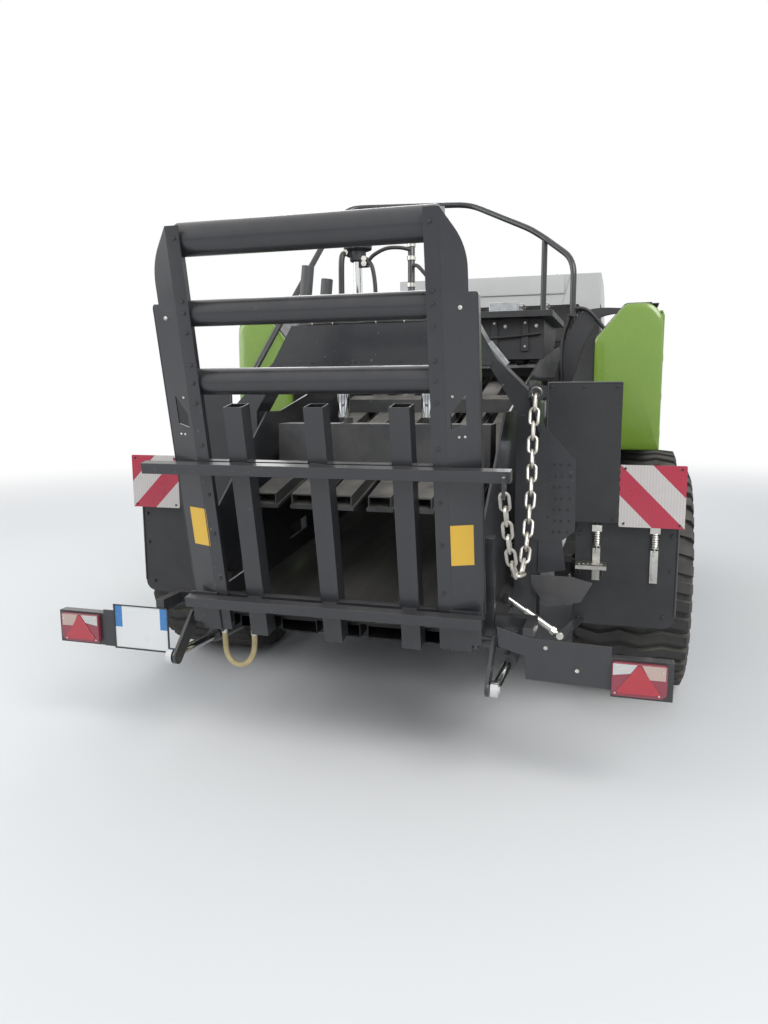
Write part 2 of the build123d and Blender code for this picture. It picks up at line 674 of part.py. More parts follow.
with BuildPart() as number_plate:
    block((-1048, -773), (lamp_y - 3, lamp_y), (450, 650))
keep(number_plate.part, "number_plate")

# Side bodies: hollow lockers, green end caps, green doors
with BuildPart() as side_bodies:
    y0, y1 = side_body_rear_y + 25, side_body_front_y
    cross_plate([(side_inner_x, side_low_z), (side_inner_x, side_shoulder_z), (side_crest_x, side_crest_z),
                 (side_outer_x, side_crest_z), (side_outer_x, side_low_z)], y0, y1)
    cross_plate([(side_inner_x + sheet_t, side_low_z + sheet_t), (side_inner_x + sheet_t, side_shoulder_z - 4),
                 (side_crest_x + 4, side_crest_z - sheet_t), (side_outer_x, side_crest_z - sheet_t),
                 (side_outer_x, side_low_z + sheet_t)], y0, y1, Mode.SUBTRACT)
    block((side_inner_x + sheet_t - 1, side_outer_x - 20), (y0, y1), (shelf_z, shelf_z + sheet_t))
    mirror(about=Plane.YZ)
keep(side_bodies.part, "side_bodies")

with BuildPart() as side_caps:
    for y0, y1 in ((side_body_rear_y, side_body_rear_y + 25), (side_body_front_y, side_body_front_y + 25)):
        cross_plate([(side_inner_x, side_low_z), (side_inner_x, side_shoulder_z), (side_crest_x, side_crest_z),
                     (1290, side_crest_z), (1325, side_crest_z - 40), (1335, side_low_z)], y0, y1)
    for y0, y1 in ((side_body_rear_y + 25, side_body_rear_y + 42), (side_body_front_y - 17, side_body_front_y)):
        rod((door_hinge_x, y0, door_hinge_z), (door_hinge_x, y1, door_hinge_z), door_pin_r)
    mirror(about=Plane.YZ)
keep(side_caps.part, "side_caps")

for side_name, side in (("left", -1), ("right", 1)):
    with BuildPart() as door:
        inner = side_outer_x + seat_gap
        cross_plate([(side * inner, side_low_z), (side * inner, side_crest_z - 60),
                     (side * (side_outer_x + 8), side_crest_z - 42), (side * (side_outer_x + 22), side_crest_z - 42),
                     (side * (side_outer_x + 34), side_crest_z - 70), (side * (side_outer_x + 34), side_low_z)],
                    side_body_rear_y + 30, side_body_front_y - 5)
        for y0, y1 in ((side_body_rear_y + 30, side_body_rear_y + 44), (side_body_front_y - 19, side_body_front_y - 5)):
            rod((side * door_hinge_x, y0, door_hinge_z), (side * door_hinge_x, y1, door_hinge_z),
                door_pin_r + pin_gap, Mode.SUBTRACT)
    keep(door.part, f"side_door_{side_name}")

with BuildPart() as side_frame:
    for y in (-1600, -300, 1000):
        block((rib_x, side_inner_x), (y - 30, y + 30), (1290, 1350))
    block((outer_x, 1400), (portal_rear_y, portal_rear_y + 50), outrigger_z)
    mirror(about=Plane.YZ)
keep(side_frame.part, "side_frame")

# Knotter deck, platform, ladder and railing
with BuildPart() as platform:
    deck_low = floor_z(deck_rear_y + 8) + wall_top
    block((-deck_half, deck_half), (deck_rear_y, deck_rear_y + 8), (deck_low, platform_z))
    for side in (-1, 1):
        side_plate([(deck_rear_y + 8, floor_z(deck_rear_y + 8) + wall_top),
                    (platform_front_y, floor_z(platform_front_y) + wall_top), (platform_front_y, platform_z),
                    (deck_rear_y + 8, platform_z)], side * chamber_half, side * wall_outer_x)
    block((-680, 680), (deck_rear_y - 100, platform_front_y), (platform_z, platform_z + platform_t))
keep(platform.part, "platform")

knotter_up = roof_up + 260
with BuildPart() as knotter_frames:
    shaft = chamber_plane.from_local_coords((0, along(knotter_y), knotter_up))
    for x in needle_xs:
        chamber_block((x + 30, x + 46), (480, 560), (roof_up + 70, roof_up + 150))
        chamber_block((x + 30, x + 46), (180, 560), (roof_up + 130, knotter_up + 60))
    rod((-560, shaft.Y, shaft.Z), (560, shaft.Y, shaft.Z), 25)
    for x in needle_xs:
        rod((x - 12, shaft.Y, shaft.Z), (x + 12, shaft.Y, shaft.Z), 160)
keep(knotter_frames.part, "knotters")

rail_tube_r = 17
with BuildPart() as railing:
    route = [(800, -1320, platform_z), (800, -1320, 2400), (600, -1140, 2570), (500, -1100, 2640), (50, -850, 2880),
             (-780, -1050, 2870), (-850, -1350, 2580), (-1070, -1950, 1770)]
    for start, end in zip(route, route[1:]):
        rod(start, end, rail_tube_r)
        with Locations(end):
            Sphere(rail_tube_r)
    rod((600, -1140, platform_z + platform_t), (600, -1140, 2570), rail_tube_r)
keep(railing.part, "railing")

# Needle yoke and needles, concentric with the yoke's pivot
with BuildPart() as needle_yoke:
    bar_y, bar_z = on_yoke(yoke_rest, needle_r)
    rod((-yoke_arm_x - yoke_arm_t, bar_y, bar_z), (yoke_arm_x + yoke_arm_t, bar_y, bar_z), 38)
    for side in (-1, 1):
        with BuildSketch(Plane(origin=(side * yoke_arm_x, 0, 0), x_dir=(0, 1, 0), z_dir=(1, 0, 0))):
            with Locations(((yoke_y + bar_y) / 2, (yoke_z + bar_z) / 2)):
                SlotCenterToCenter(needle_r, 84, rotation=degrees(atan2(bar_z - yoke_z, bar_y - yoke_y)))
        extrude(amount=side * yoke_arm_t)
        rod((side * chamber_half, yoke_y, yoke_z), (side * yoke_arm_x, yoke_y, yoke_z), 30)
keep(needle_yoke.part, "needle_yoke")

with BuildPart() as needles:
    a0 = yoke_rest + 2.0
    a1 = yoke_rest + needle_span
    for x in needle_xs:
        with BuildSketch(Plane(origin=(x - needle_t / 2, 0, 0), x_dir=(0, 1, 0), z_dir=(1, 0, 0))):
            with BuildLine():
                outer_a = on_yoke(a0, needle_r + 26)
                outer_m = on_yoke((a0 + a1) / 2, needle_r + 26)
                outer_b = on_yoke(a1 - 4, needle_r + 20)
                tip = on_yoke(a1, needle_r)
                inner_b = on_yoke(a1 - 4, needle_r - 16)
                inner_m = on_yoke((a0 + a1) / 2, needle_r - 26)
                inner_a = on_yoke(a0, needle_r - 26)
                ThreePointArc(outer_a, outer_m, outer_b)
                Line(outer_b, tip)
                Line(tip, inner_b)
                ThreePointArc(inner_b, inner_m, inner_a)
                Line(inner_a, outer_a)
            make_face()
        extrude(amount=needle_t)
    rod((-yoke_arm_x, bar_y, bar_z), (yoke_arm_x, bar_y, bar_z), 38, Mode.SUBTRACT)
keep(needles.part, "needles")

# Feed housing with auger trough, feed rotor
with BuildPart() as feed_housing:
    trough_x = pickup_half - 30
    top0, top1 = floor_z(feed_open_y - 20) - floor_t / cos(slope), floor_z(640) - floor_t / cos(slope)
    pan = [(feed_open_y - 20, top0), (feed_open_y - 20, 480), (200, 360), (420, 310), (880, 310),
           (1000, 400), (1018, 480)]
    for side in (-1, 1):
        side_plate(pan + [(960, 700), (640, top1)], side * (feed_half - 10), side * feed_half)
    side_plate(pan + [(1010, 480), (993, 404), (876, 318), (424, 318), (206, 368), (feed_open_y - 12, 486),
                      (feed_open_y - 12, top0)], -feed_half + 10, feed_half - 10)
    for side in (-1, 1):
        rod((side * (feed_half - 10), feed_rotor_y, feed_rotor_z), (side * feed_half, feed_rotor_y, feed_rotor_z),
            125, Mode.SUBTRACT)
        rod((side * wall_outer_x, pickup_pivot_y, pickup_pivot_z), (side * pickup_half, pickup_pivot_y, pickup_pivot_z),
            pickup_pivot_r)
        block((side * feed_half, side * (trough_x - 10)), (632, 640), (360, 740))
        side_plate([(632, 360), (880, 380), (930, 570), (760, 800), (632, 800)], side * (trough_x - 10),
                   side * trough_x)
        rod((side * (trough_x - 10), feed_rotor_y, feed_rotor_z), (side * trough_x, feed_rotor_y, feed_rotor_z),
            30 + pin_gap, Mode.SUBTRACT)
keep(feed_housing.part, "feed_housing")

with BuildPart() as feed_rotor:
    rod((-trough_x + 20, feed_rotor_y, feed_rotor_z), (trough_x - 20, feed_rotor_y, feed_rotor_z), 100)
    rod((-trough_x - 5, feed_rotor_y, feed_rotor_z), (trough_x + 5, feed_rotor_y, feed_rotor_z), 30)
    for i in range(9):
        x = 130 * (i - 4)
        for arm in range(3):
            with Locations(Location((x, feed_rotor_y, feed_rotor_z), (40 * i + 120 * arm, 0, 0))
                           * Location((0, 0, 140))):
                Box(14, 50, 2 * (feed_rotor_r - 140))
    for side in (-1, 1):
        for i in range(3):
            x = side * (680 + 120 * i)
            with Locations(Location((x, feed_rotor_y, feed_rotor_z), (0, 90 + side * 12, 0))):
                Cylinder(155, 8)
keep(feed_rotor.part, "feed_rotor")

# Pick-up: frame, bands, reel, gauge wheels, wind guard
arm_x = (pickup_half - 16, pickup_half - 4)
tube_y, tube_z = 1100, 242
guard_y, guard_z = 1150, 830
gauge_y, gauge_z, gauge_r = 1220, 325, 200
gauge_x = (pickup_half + 40, pickup_half + 170)
with BuildPart() as pickup_frame:
    for side in (-1, 1):
        side_plate([(640, 720), (700, 690), (1060, 300), (1060, 200), (1140, 200), (1260, 280), (1480, 400),
                    (1540, 500), (1440, 620), (1200, 880), (1110, 880), (1060, 760), (760, 810), (640, 800)],
                   side * arm_x[0], side * arm_x[1])
        for hole_y, hole_z, hole_r in ((pickup_pivot_y, pickup_pivot_z, pickup_pivot_r), (reel_y, reel_z, 20),
                                       (guard_y, guard_z, 15)):
            rod((side * arm_x[0], hole_y, hole_z), (side * arm_x[1], hole_y, hole_z), hole_r + pin_gap, Mode.SUBTRACT)
        rod((side * arm_x[1], gauge_y, gauge_z), (side * (gauge_x[1] + 15), gauge_y, gauge_z), 16)
    rod((-arm_x[0], tube_y, tube_z), (arm_x[0], tube_y, tube_z), 40)
    block((-arm_x[0], arm_x[0]), (1110, 1118), (tube_z, reel_z + band_r))
keep(pickup_frame.part, "pickup_frame")

tine_pitch = 2 * (pickup_half - 64) / tines_per_row
tine_xs = [tine_pitch * (i - (tines_per_row - 1) / 2) for i in range(tines_per_row)]
with BuildPart() as pickup_bands:
    band_w = tine_pitch - 32
    for x in [tine_xs[0] - tine_pitch] + tine_xs:
        centre = x + tine_pitch / 2
        with BuildSketch(Plane(origin=(centre - band_w / 2, 0, 0), x_dir=(0, 1, 0), z_dir=(1, 0, 0))):
            with BuildLine():
                rear = 1118
                Polyline((reel_y, reel_z - band_r), (rear, reel_z - band_r), (rear, reel_z - band_r + 4),
                         (reel_y, reel_z - band_r + 4))
                ThreePointArc((reel_y, reel_z - band_r + 4), (reel_y + band_r - 4, reel_z),
                              (reel_y, reel_z + band_r - 4))
                Polyline((reel_y, reel_z + band_r - 4), (rear, reel_z + band_r - 4), (rear, reel_z + band_r),
                         (reel_y, reel_z + band_r))
                ThreePointArc((reel_y, reel_z + band_r), (reel_y + band_r, reel_z), (reel_y, reel_z - band_r))
            make_face()
        extrude(amount=band_w)
keep(pickup_bands.part, "pickup_bands")

with BuildPart() as pickup_reel:
    rod((-pickup_half, reel_y, reel_z), (pickup_half, reel_y, reel_z), 20)
    rod((-pickup_half + 40, reel_y, reel_z), (pickup_half - 40, reel_y, reel_z), 55)
    for side in (-1, 1):
        rod((side * (pickup_half - 50), reel_y, reel_z), (side * (pickup_half - 42), reel_y, reel_z), 150)
    for row in range(tine_rows):
        turn = 360 / tine_rows * row
        with Locations(Location((0, reel_y, reel_z), (turn, 0, 0)) * Location((0, 0, 130), (0, 90, 0))):
            Cylinder(14, 2 * (pickup_half - 46))
        spots = [Location((x, reel_y, reel_z), (turn, 0, 0)) * Location((0, 0, (125 + reel_tip_r) / 2))
                 for x in tine_xs]
        with Locations(*spots):
            Box(9, 9, reel_tip_r - 125)
keep(pickup_reel.part, "pickup_reel")

for side_name, side in (("left", -1), ("right", 1)):
    with BuildPart() as gauge_wheel:
        for x0, x1, radius, mode in ((*gauge_x, gauge_r, Mode.ADD),
                                     (gauge_x[0], gauge_x[0] + 20, 110, Mode.SUBTRACT),
                                     (gauge_x[1] - 20, gauge_x[1], 110, Mode.SUBTRACT),
                                     (*gauge_x, 16 + pin_gap, Mode.SUBTRACT)):
            rod((side * x0, gauge_y, gauge_z), (side * x1, gauge_y, gauge_z), radius, mode)
    keep(gauge_wheel.part, f"gauge_wheel_{side_name}")

with BuildPart() as wind_guard:
    for side in (-1, 1):
        side_plate([(1120, 815), (1150, 800), (1620, 815), (1660, 850), (1620, 885), (1150, 860), (1120, 845)],
                   side * (arm_x[0] - 14), side * (arm_x[0] - 4))
        rod((side * (arm_x[0] - 14), guard_y, guard_z), (side * arm_x[1], guard_y, guard_z), 15)
        rod((side * (arm_x[0] - 14), 1620, 850), (side * (arm_x[0] - 4), 1620, 850), 18 + pin_gap, Mode.SUBTRACT)
    block((-arm_x[0] + 14, arm_x[0] - 14), (1180, 1500), (850, 854))
keep(wind_guard.part, "wind_guard")

with BuildPart() as crop_roller:
    rod((-arm_x[0] + 20, 1620, 850), (arm_x[0] - 20, 1620, 850), 68)
    rod((-arm_x[0] + 4, 1620, 850), (arm_x[0] - 4, 1620, 850), 18)
keep(crop_roller.part, "crop_roller")

# Front frame, gearbox, flywheel
with BuildPart() as front_frame:
    for side in (-1, 1):
        side_plate([(chamber_front_y, 1000), (chamber_front_y, 1700), (1950, 1560), (2060, 1300), (2060, 540),
                    (1960, 540), (1900, 1000)], side * chamber_half, side * (chamber_half + 15))
        block((side * chamber_half, side * (chamber_half + 40)), (1360, 1400), (1600, 2580 - seat_gap))
    block((-chamber_half, chamber_half), (1960, 2060), (540, 800))
    block((-chamber_half, chamber_half), (1420, 1500), (1000, 1080))
    block((-chamber_half, chamber_half), (1800, 1880), (1000, 1080))
keep(front_frame.part, "front_frame")

with BuildPart() as gearbox:
    block((-250, 250), (1400, 1940), (1080, 1560))
    rod((0, 1940, flywheel_z), (0, 2040, flywheel_z), 110)
    rod((0, 1840, flywheel_z), (0, 2040, flywheel_z), shaft_r + pin_gap, Mode.SUBTRACT)
    fillet(gearbox.edges().filter_by(Axis.X).group_by(Axis.Z)[-1], 60)
keep(gearbox.part, "gearbox")

with BuildPart() as flywheel:
    half = flywheel_w / 2
    rod((0, flywheel_y - half, flywheel_z), (0, flywheel_y + half, flywheel_z), flywheel_r)
    for face in (flywheel_y - half, flywheel_y + half - 35):
        rod((0, face, flywheel_z), (0, face + 35, flywheel_z), flywheel_r - 70, Mode.SUBTRACT)
    rod((0, flywheel_y - half - 20, flywheel_z), (0, flywheel_y + half + 20, flywheel_z), 90)
    rod((0, 1850, flywheel_z), (0, flywheel_y, flywheel_z), shaft_r)
    rod((0, flywheel_y, flywheel_z), (0, flywheel_y + half + 20 + stub_len, flywheel_z), stub_r)
    with Locations(*[Location((0, flywheel_y, flywheel_z), (0, 60 * i, 0)) * Location((230, 0, 0), (90, 0, 0))
                     for i in range(6)]):
        Cylinder(60, 60, mode=Mode.SUBTRACT)
keep(flywheel.part, "flywheel")

# Drawbar, hitch eye, parking jack
with BuildPart() as drawbar:
    side_plate([(2060, 540), (2060, 740), (2400, 740), (hitch_y - 260, 540), (hitch_y - 110, 520),
                (hitch_y - 110, 420), (hitch_y - 260, 420), (2400, 520)], -beam_w / 2, beam_w / 2)
    block((-260, 260), (2060, 2085), (540, 755))
    block((-beam_w / 2 - 45, -beam_w / 2), (jack_y - 60, jack_y + 60), (500, 600))
    rod((-beam_w / 2 - 85, jack_y, 490), (-beam_w / 2 - 85, jack_y, 610), 48)
    rod((-beam_w / 2 - 85, jack_y, 490), (-beam_w / 2 - 85, jack_y, 610), 36 + pin_gap, Mode.SUBTRACT)
keep(drawbar.part, "drawbar")

with BuildPart() as hitch_eye:
    block((-45, 45), (hitch_y - 110, hitch_y - 30), (hitch_z - 30, hitch_z + 30))
    block((-80, 80), (hitch_y - 110, hitch_y - 85), (hitch_z - 45, hitch_z + 45))
    rod((0, hitch_y, hitch_z - hitch_eye_h / 2), (0, hitch_y, hitch_z + hitch_eye_h / 2), hitch_eye_r)
    rod((0, hitch_y, hitch_z - hitch_eye_h / 2), (0, hitch_y, hitch_z + hitch_eye_h / 2), hitch_bore_r, Mode.SUBTRACT)
keep(hitch_eye.part, "hitch_eye")

with BuildPart() as jack_leg:
    rod((-beam_w / 2 - 85, jack_y, 12), (-beam_w / 2 - 85, jack_y, 780), 36)
    block((-beam_w / 2 - 185, -beam_w / 2 + 15), (jack_y - 100, jack_y + 100), (0, 12))
    rod((-beam_w / 2 - 85, jack_y, 780), (-beam_w / 2 - 85, jack_y, 800), 44)
keep(jack_leg.part, "jack_leg")

# Front hood
hood_half = 900
hood_t = 20
hood_outline = [(750, 2340), (760, 2600), (1500, 2600), (2050, 2500), (2330, 2150), (2400, 1700), (2400, 1480),
                (1340, 1480), (1340, 2120), (1120, 2340)]
with BuildPart() as front_hood:
    side_plate(hood_outline, -hood_half, hood_half)
    side_plate([(772, 2320), (779, 2600 - hood_t), (1500 - 2, 2600 - hood_t), (2050 - 11, 2500 - hood_t + 2),
                (2330 - 20, 2150 - 7), (2400 - hood_t, 1700 - 2), (2400 - hood_t, 1400), (1320, 1400),
                (1320, 2110), (1115, 2320)], -hood_half + hood_t, hood_half - hood_t, Mode.SUBTRACT)
keep(front_hood.part, "front_hood")

# Chain between the portal's bracket and the chute
link_count = 20
link_wire = 13
link_w = 46
chain_route = [(788, -3233, 1577), (784, -3256, 1487), (784, -3290, 1359), (788, -3330, 1250), (789, -3385, 1143),
               (789, -3450, 1026), (787, -3525, 939), (778, -3585, 897), (760, -3625, 939), (748, -3665, 1039),
               (741, -3704, 1150), (736, -3733.5, 1232.4)]
with BuildPart() as chain:
    with BuildLine() as chain_line:
        chain_curve = Spline(*chain_route)
    link_in = chain_curve.length / link_count - 0.6
    for i in range(link_count):
        a = chain_curve @ (i / link_count)
        b = chain_curve @ ((i + 1) / link_count)
        run = (b - a).normalized()
        across = run.cross(Vector(1, 0, 0)).normalized()
        normal = across if i % 2 else run.cross(across).normalized()
        with BuildSketch(Plane(origin=(a + b) / 2, x_dir=run, z_dir=normal).offset(-link_wire / 2)) as link:
            out_l, out_w, cut = link_in / 2 + link_wire, link_w / 2, 14
            with BuildLine():
                Polyline((-out_l, -out_w + cut), (-out_l + cut, -out_w), (out_l - cut, -out_w), (out_l, -out_w + cut),
                         (out_l, out_w - cut), (out_l - cut, out_w), (-out_l + cut, out_w), (-out_l, out_w - cut),
                         close=True)
            make_face()
            Rectangle(link_in, link_w - 2 * link_wire, mode=Mode.SUBTRACT)
        extrude(link.sketch, amount=link_wire)
keep(chain.part, "chain")

# Hose hanging in a loop under the chamber's rear
def hose_end(x):
    """Centre of a gland's lower face."""
    return chamber_plane.from_local_coords((x, along(hose_y), -floor_t - gland_h))


hose_start, hose_stop = hose_end(hose_ends[0]), hose_end(hose_ends[1])
hose_down = chamber_plane.z_dir * -58
hose_route = [hose_start, hose_start + hose_down, Vector(-582, -3380, 412), Vector(-553, -3384, 372),
              Vector(-510, -3388, 358), Vector(-468, -3384, 375), Vector(-444, -3379, 416),
              hose_stop + hose_down, hose_stop]


def bend_radii(route):
    """Radius of each bend, as large as its two runs allow."""
    radii = []
    for before, corner, after in zip(route, route[1:], route[2:]):
        turn = (corner - before).get_angle(after - corner)
        run = min((corner - before).length, (after - corner).length)
        radii.append(0.45 * run / tan(radians(turn) / 2))
    return radii


hose_radii = bend_radii(hose_route)
with BuildPart() as hose_loop:
    with BuildLine() as hose_line:
        FilletPolyline(*hose_route, radius=hose_radii)
    with BuildSketch(Plane(origin=hose_route[0], z_dir=hose_route[1] - hose_route[0])):
        Circle(hose_r)
    sweep()
keep(hose_loop.part, "hose_loop")
print("hose radii", [round(r) for r in hose_radii], "length", round(hose_line.wires()[0].length),
      "volume over section times length", round(hose_loop.part.volume / (pi * hose_r ** 2 * hose_line.wires()[0].length), 4))
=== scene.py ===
"""Large square baler: finishes, fittings, floor, light and camera.

Metres.  +Y is the front (hitch), -Y the rear (bale chute), +X the machine's
right, Z = 0 the ground.
"""

import logging
import math
from dataclasses import dataclass, field
from enum import Enum

import bmesh
import bpy
from mathutils import Matrix, Vector


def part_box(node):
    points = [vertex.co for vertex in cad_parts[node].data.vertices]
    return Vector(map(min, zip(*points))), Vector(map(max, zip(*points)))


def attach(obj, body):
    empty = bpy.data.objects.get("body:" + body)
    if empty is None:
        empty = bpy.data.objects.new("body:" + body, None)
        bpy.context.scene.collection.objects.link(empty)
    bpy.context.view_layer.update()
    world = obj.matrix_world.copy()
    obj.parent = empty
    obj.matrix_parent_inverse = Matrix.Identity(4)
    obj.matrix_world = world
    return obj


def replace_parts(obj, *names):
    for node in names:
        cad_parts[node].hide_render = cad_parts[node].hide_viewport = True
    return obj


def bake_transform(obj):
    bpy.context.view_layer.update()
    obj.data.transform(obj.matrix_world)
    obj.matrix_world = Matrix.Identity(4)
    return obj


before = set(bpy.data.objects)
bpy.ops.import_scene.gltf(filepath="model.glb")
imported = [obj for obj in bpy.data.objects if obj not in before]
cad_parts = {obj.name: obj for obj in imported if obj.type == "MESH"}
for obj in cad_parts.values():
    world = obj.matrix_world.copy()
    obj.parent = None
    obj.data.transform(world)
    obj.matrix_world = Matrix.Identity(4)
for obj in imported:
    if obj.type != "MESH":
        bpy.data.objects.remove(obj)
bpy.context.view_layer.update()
LOG = logging.getLogger("baler")

Color = tuple[float, float, float]
Spot = tuple[float, float, float]
Flat = tuple[float, float]
Outline = list[Flat] | tuple[Flat, ...]
Socket = bpy.types.NodeSocket
Tree = bpy.types.NodeTree

UP = Vector((0, 0, 1))
FORWARDS = Vector((0, 1, 0))
REARWARDS = Vector((0, -1, 0))
ACROSS = Vector((1, 0, 0))


class Body(Enum):
    """Moving bodies that pieces ride on."""

    MACHINE = "machine"
    CHUTE = "chute"
    RODS = "press_rods"
    REEL = "pickup_reel"
    DOOR_LEFT = "side_door_left"
    DOOR_RIGHT = "side_door_right"
    WHEEL_REAR_LEFT = "wheel_rear_left"
    WHEEL_REAR_RIGHT = "wheel_rear_right"
    WHEEL_FRONT_LEFT = "wheel_front_left"
    WHEEL_FRONT_RIGHT = "wheel_front_right"


class Side(Enum):
    """Left and right of the machine, valued by the sign of X."""

    LEFT = -1
    RIGHT = 1


def at(x: float, y: float, z: float) -> Vector:
    """Point given in millimetres."""
    return Vector((x, y, z)) / 1000


@dataclass(frozen=True)
class ChutePlane:
    """The leaning plane of the folded bale chute."""

    hinge_y: float = -3500
    hinge_z: float = 610
    lean: float = math.radians(10.7)

    def point(self, x: float, up: float, out: float) -> Vector:
        """Point on the chute.

        Args:
            x: Place across the machine, millimetres.
            up: Height along the chute, millimetres.
            out: Distance rearwards from the chute's line, millimetres.

        Returns:
            The point in metres.
        """
        s, c = math.sin(self.lean), math.cos(self.lean)
        return at(x, self.hinge_y - up * s - out * c, self.hinge_z + up * c - out * s)

    def outwards(self) -> Vector:
        """Direction square to the chute, rearwards."""
        return Vector((0, -math.cos(self.lean), -math.sin(self.lean)))


def calc(tree: Tree, operation: str, *values: Socket | float) -> Socket:
    """Add a math node.

    Args:
        tree: The tree that gets it.
        operation: The node's operation.
        values: Sockets or numbers for its inputs.

    Returns:
        The node's output.
    """
    node = tree.nodes.new("ShaderNodeMath")
    node.operation = operation
    for entry, value in zip(node.inputs, values):
        if isinstance(value, (int, float)):
            entry.default_value = value
        else:
            tree.links.new(value, entry)
    return node.outputs[0]


def clamped(tree: Tree, value: Socket) -> Socket:
    """Keep a value between 0 and 1.

    Args:
        tree: The tree that gets the node.
        value: The value's socket.

    Returns:
        The clamped value's socket.
    """
    out = calc(tree, "ADD", value, 0.0)
    out.node.use_clamp = True
    return out


def blend(tree: Tree, factor: Socket, low: Socket | Color, high: Socket | Color) -> Socket:
    """Blend two colours.

    Args:
        tree: The tree that gets the node.
        factor: 0 gives the first colour and 1 the second.
        low: The first colour or its socket.
        high: The second colour or its socket.

    Returns:
        The blended colour's socket.
    """
    node = tree.nodes.new("ShaderNodeMix")
    node.data_type = "RGBA"
    tree.links.new(factor, node.inputs["Factor"])
    # A Mix node has its colours at inputs 6 and 7 and its colour result at output 2
    for entry, color in ((node.inputs[6], low), (node.inputs[7], high)):
        if isinstance(color, tuple):
            entry.default_value = (*color, 1)
        else:
            tree.links.new(color, entry)
    return node.outputs[2]


def shaded(tree: Tree, color: Socket, factor: Socket) -> Socket:
    """Darken or lighten a colour.

    Args:
        tree: The tree that gets the node.
        color: The colour's socket.
        factor: What the colour is multiplied by.

    Returns:
        The new colour's socket.
    """
    node = tree.nodes.new("ShaderNodeVectorMath")
    node.operation = "SCALE"
    tree.links.new(color, node.inputs[0])
    tree.links.new(factor, node.inputs["Scale"])
    return node.outputs[0]


def object_place(tree: Tree) -> Socket:
    """Coordinates that stay with the object."""
    return tree.nodes.new("ShaderNodeTexCoord").outputs["Object"]


def facing_up(tree: Tree) -> Socket:
    """How far the surface looks up, as a socket.

    Args:
        tree: The tree that gets the nodes.

    Returns:
        The Z of the surface's direction.
    """
    split = tree.nodes.new("ShaderNodeSeparateXYZ")
    tree.links.new(tree.nodes.new("ShaderNodeNewGeometry").outputs["Normal"], split.inputs[0])
    return split.outputs["Z"]


def across_and_up(tree: Tree) -> tuple[Socket, Socket]:
    """Distance from the machine's middle and height, as sockets.

    Args:
        tree: The tree that gets the nodes.

    Returns:
        The distance across and the height.
    """
    split = tree.nodes.new("ShaderNodeSeparateXYZ")
    tree.links.new(object_place(tree), split.inputs[0])
    return calc(tree, "ABSOLUTE", split.outputs["X"]), split.outputs["Z"]


def noise(tree: Tree, scale: Socket | float, detail: float, stretch: Socket | None = None) -> Socket:
    """Add a noise that follows the object.

    Args:
        tree: The tree that gets it.
        scale: Features per metre.
        detail: Octaves.
        stretch: Factors along X, Y and Z.

    Returns:
        The noise's value.
    """
    place = object_place(tree)
    if stretch is not None:
        scaled = tree.nodes.new("ShaderNodeVectorMath")
        scaled.operation = "MULTIPLY"
        tree.links.new(place, scaled.inputs[0])
        tree.links.new(stretch, scaled.inputs[1])
        place = scaled.outputs[0]
    node = tree.nodes.new("ShaderNodeTexNoise")
    node.inputs["Detail"].default_value = detail
    node.inputs["Roughness"].default_value = 0.6
    tree.links.new(place, node.inputs["Vector"])
    if isinstance(scale, (int, float)):
        node.inputs["Scale"].default_value = scale
    else:
        tree.links.new(scale, node.inputs["Scale"])
    return node.outputs["Fac"]


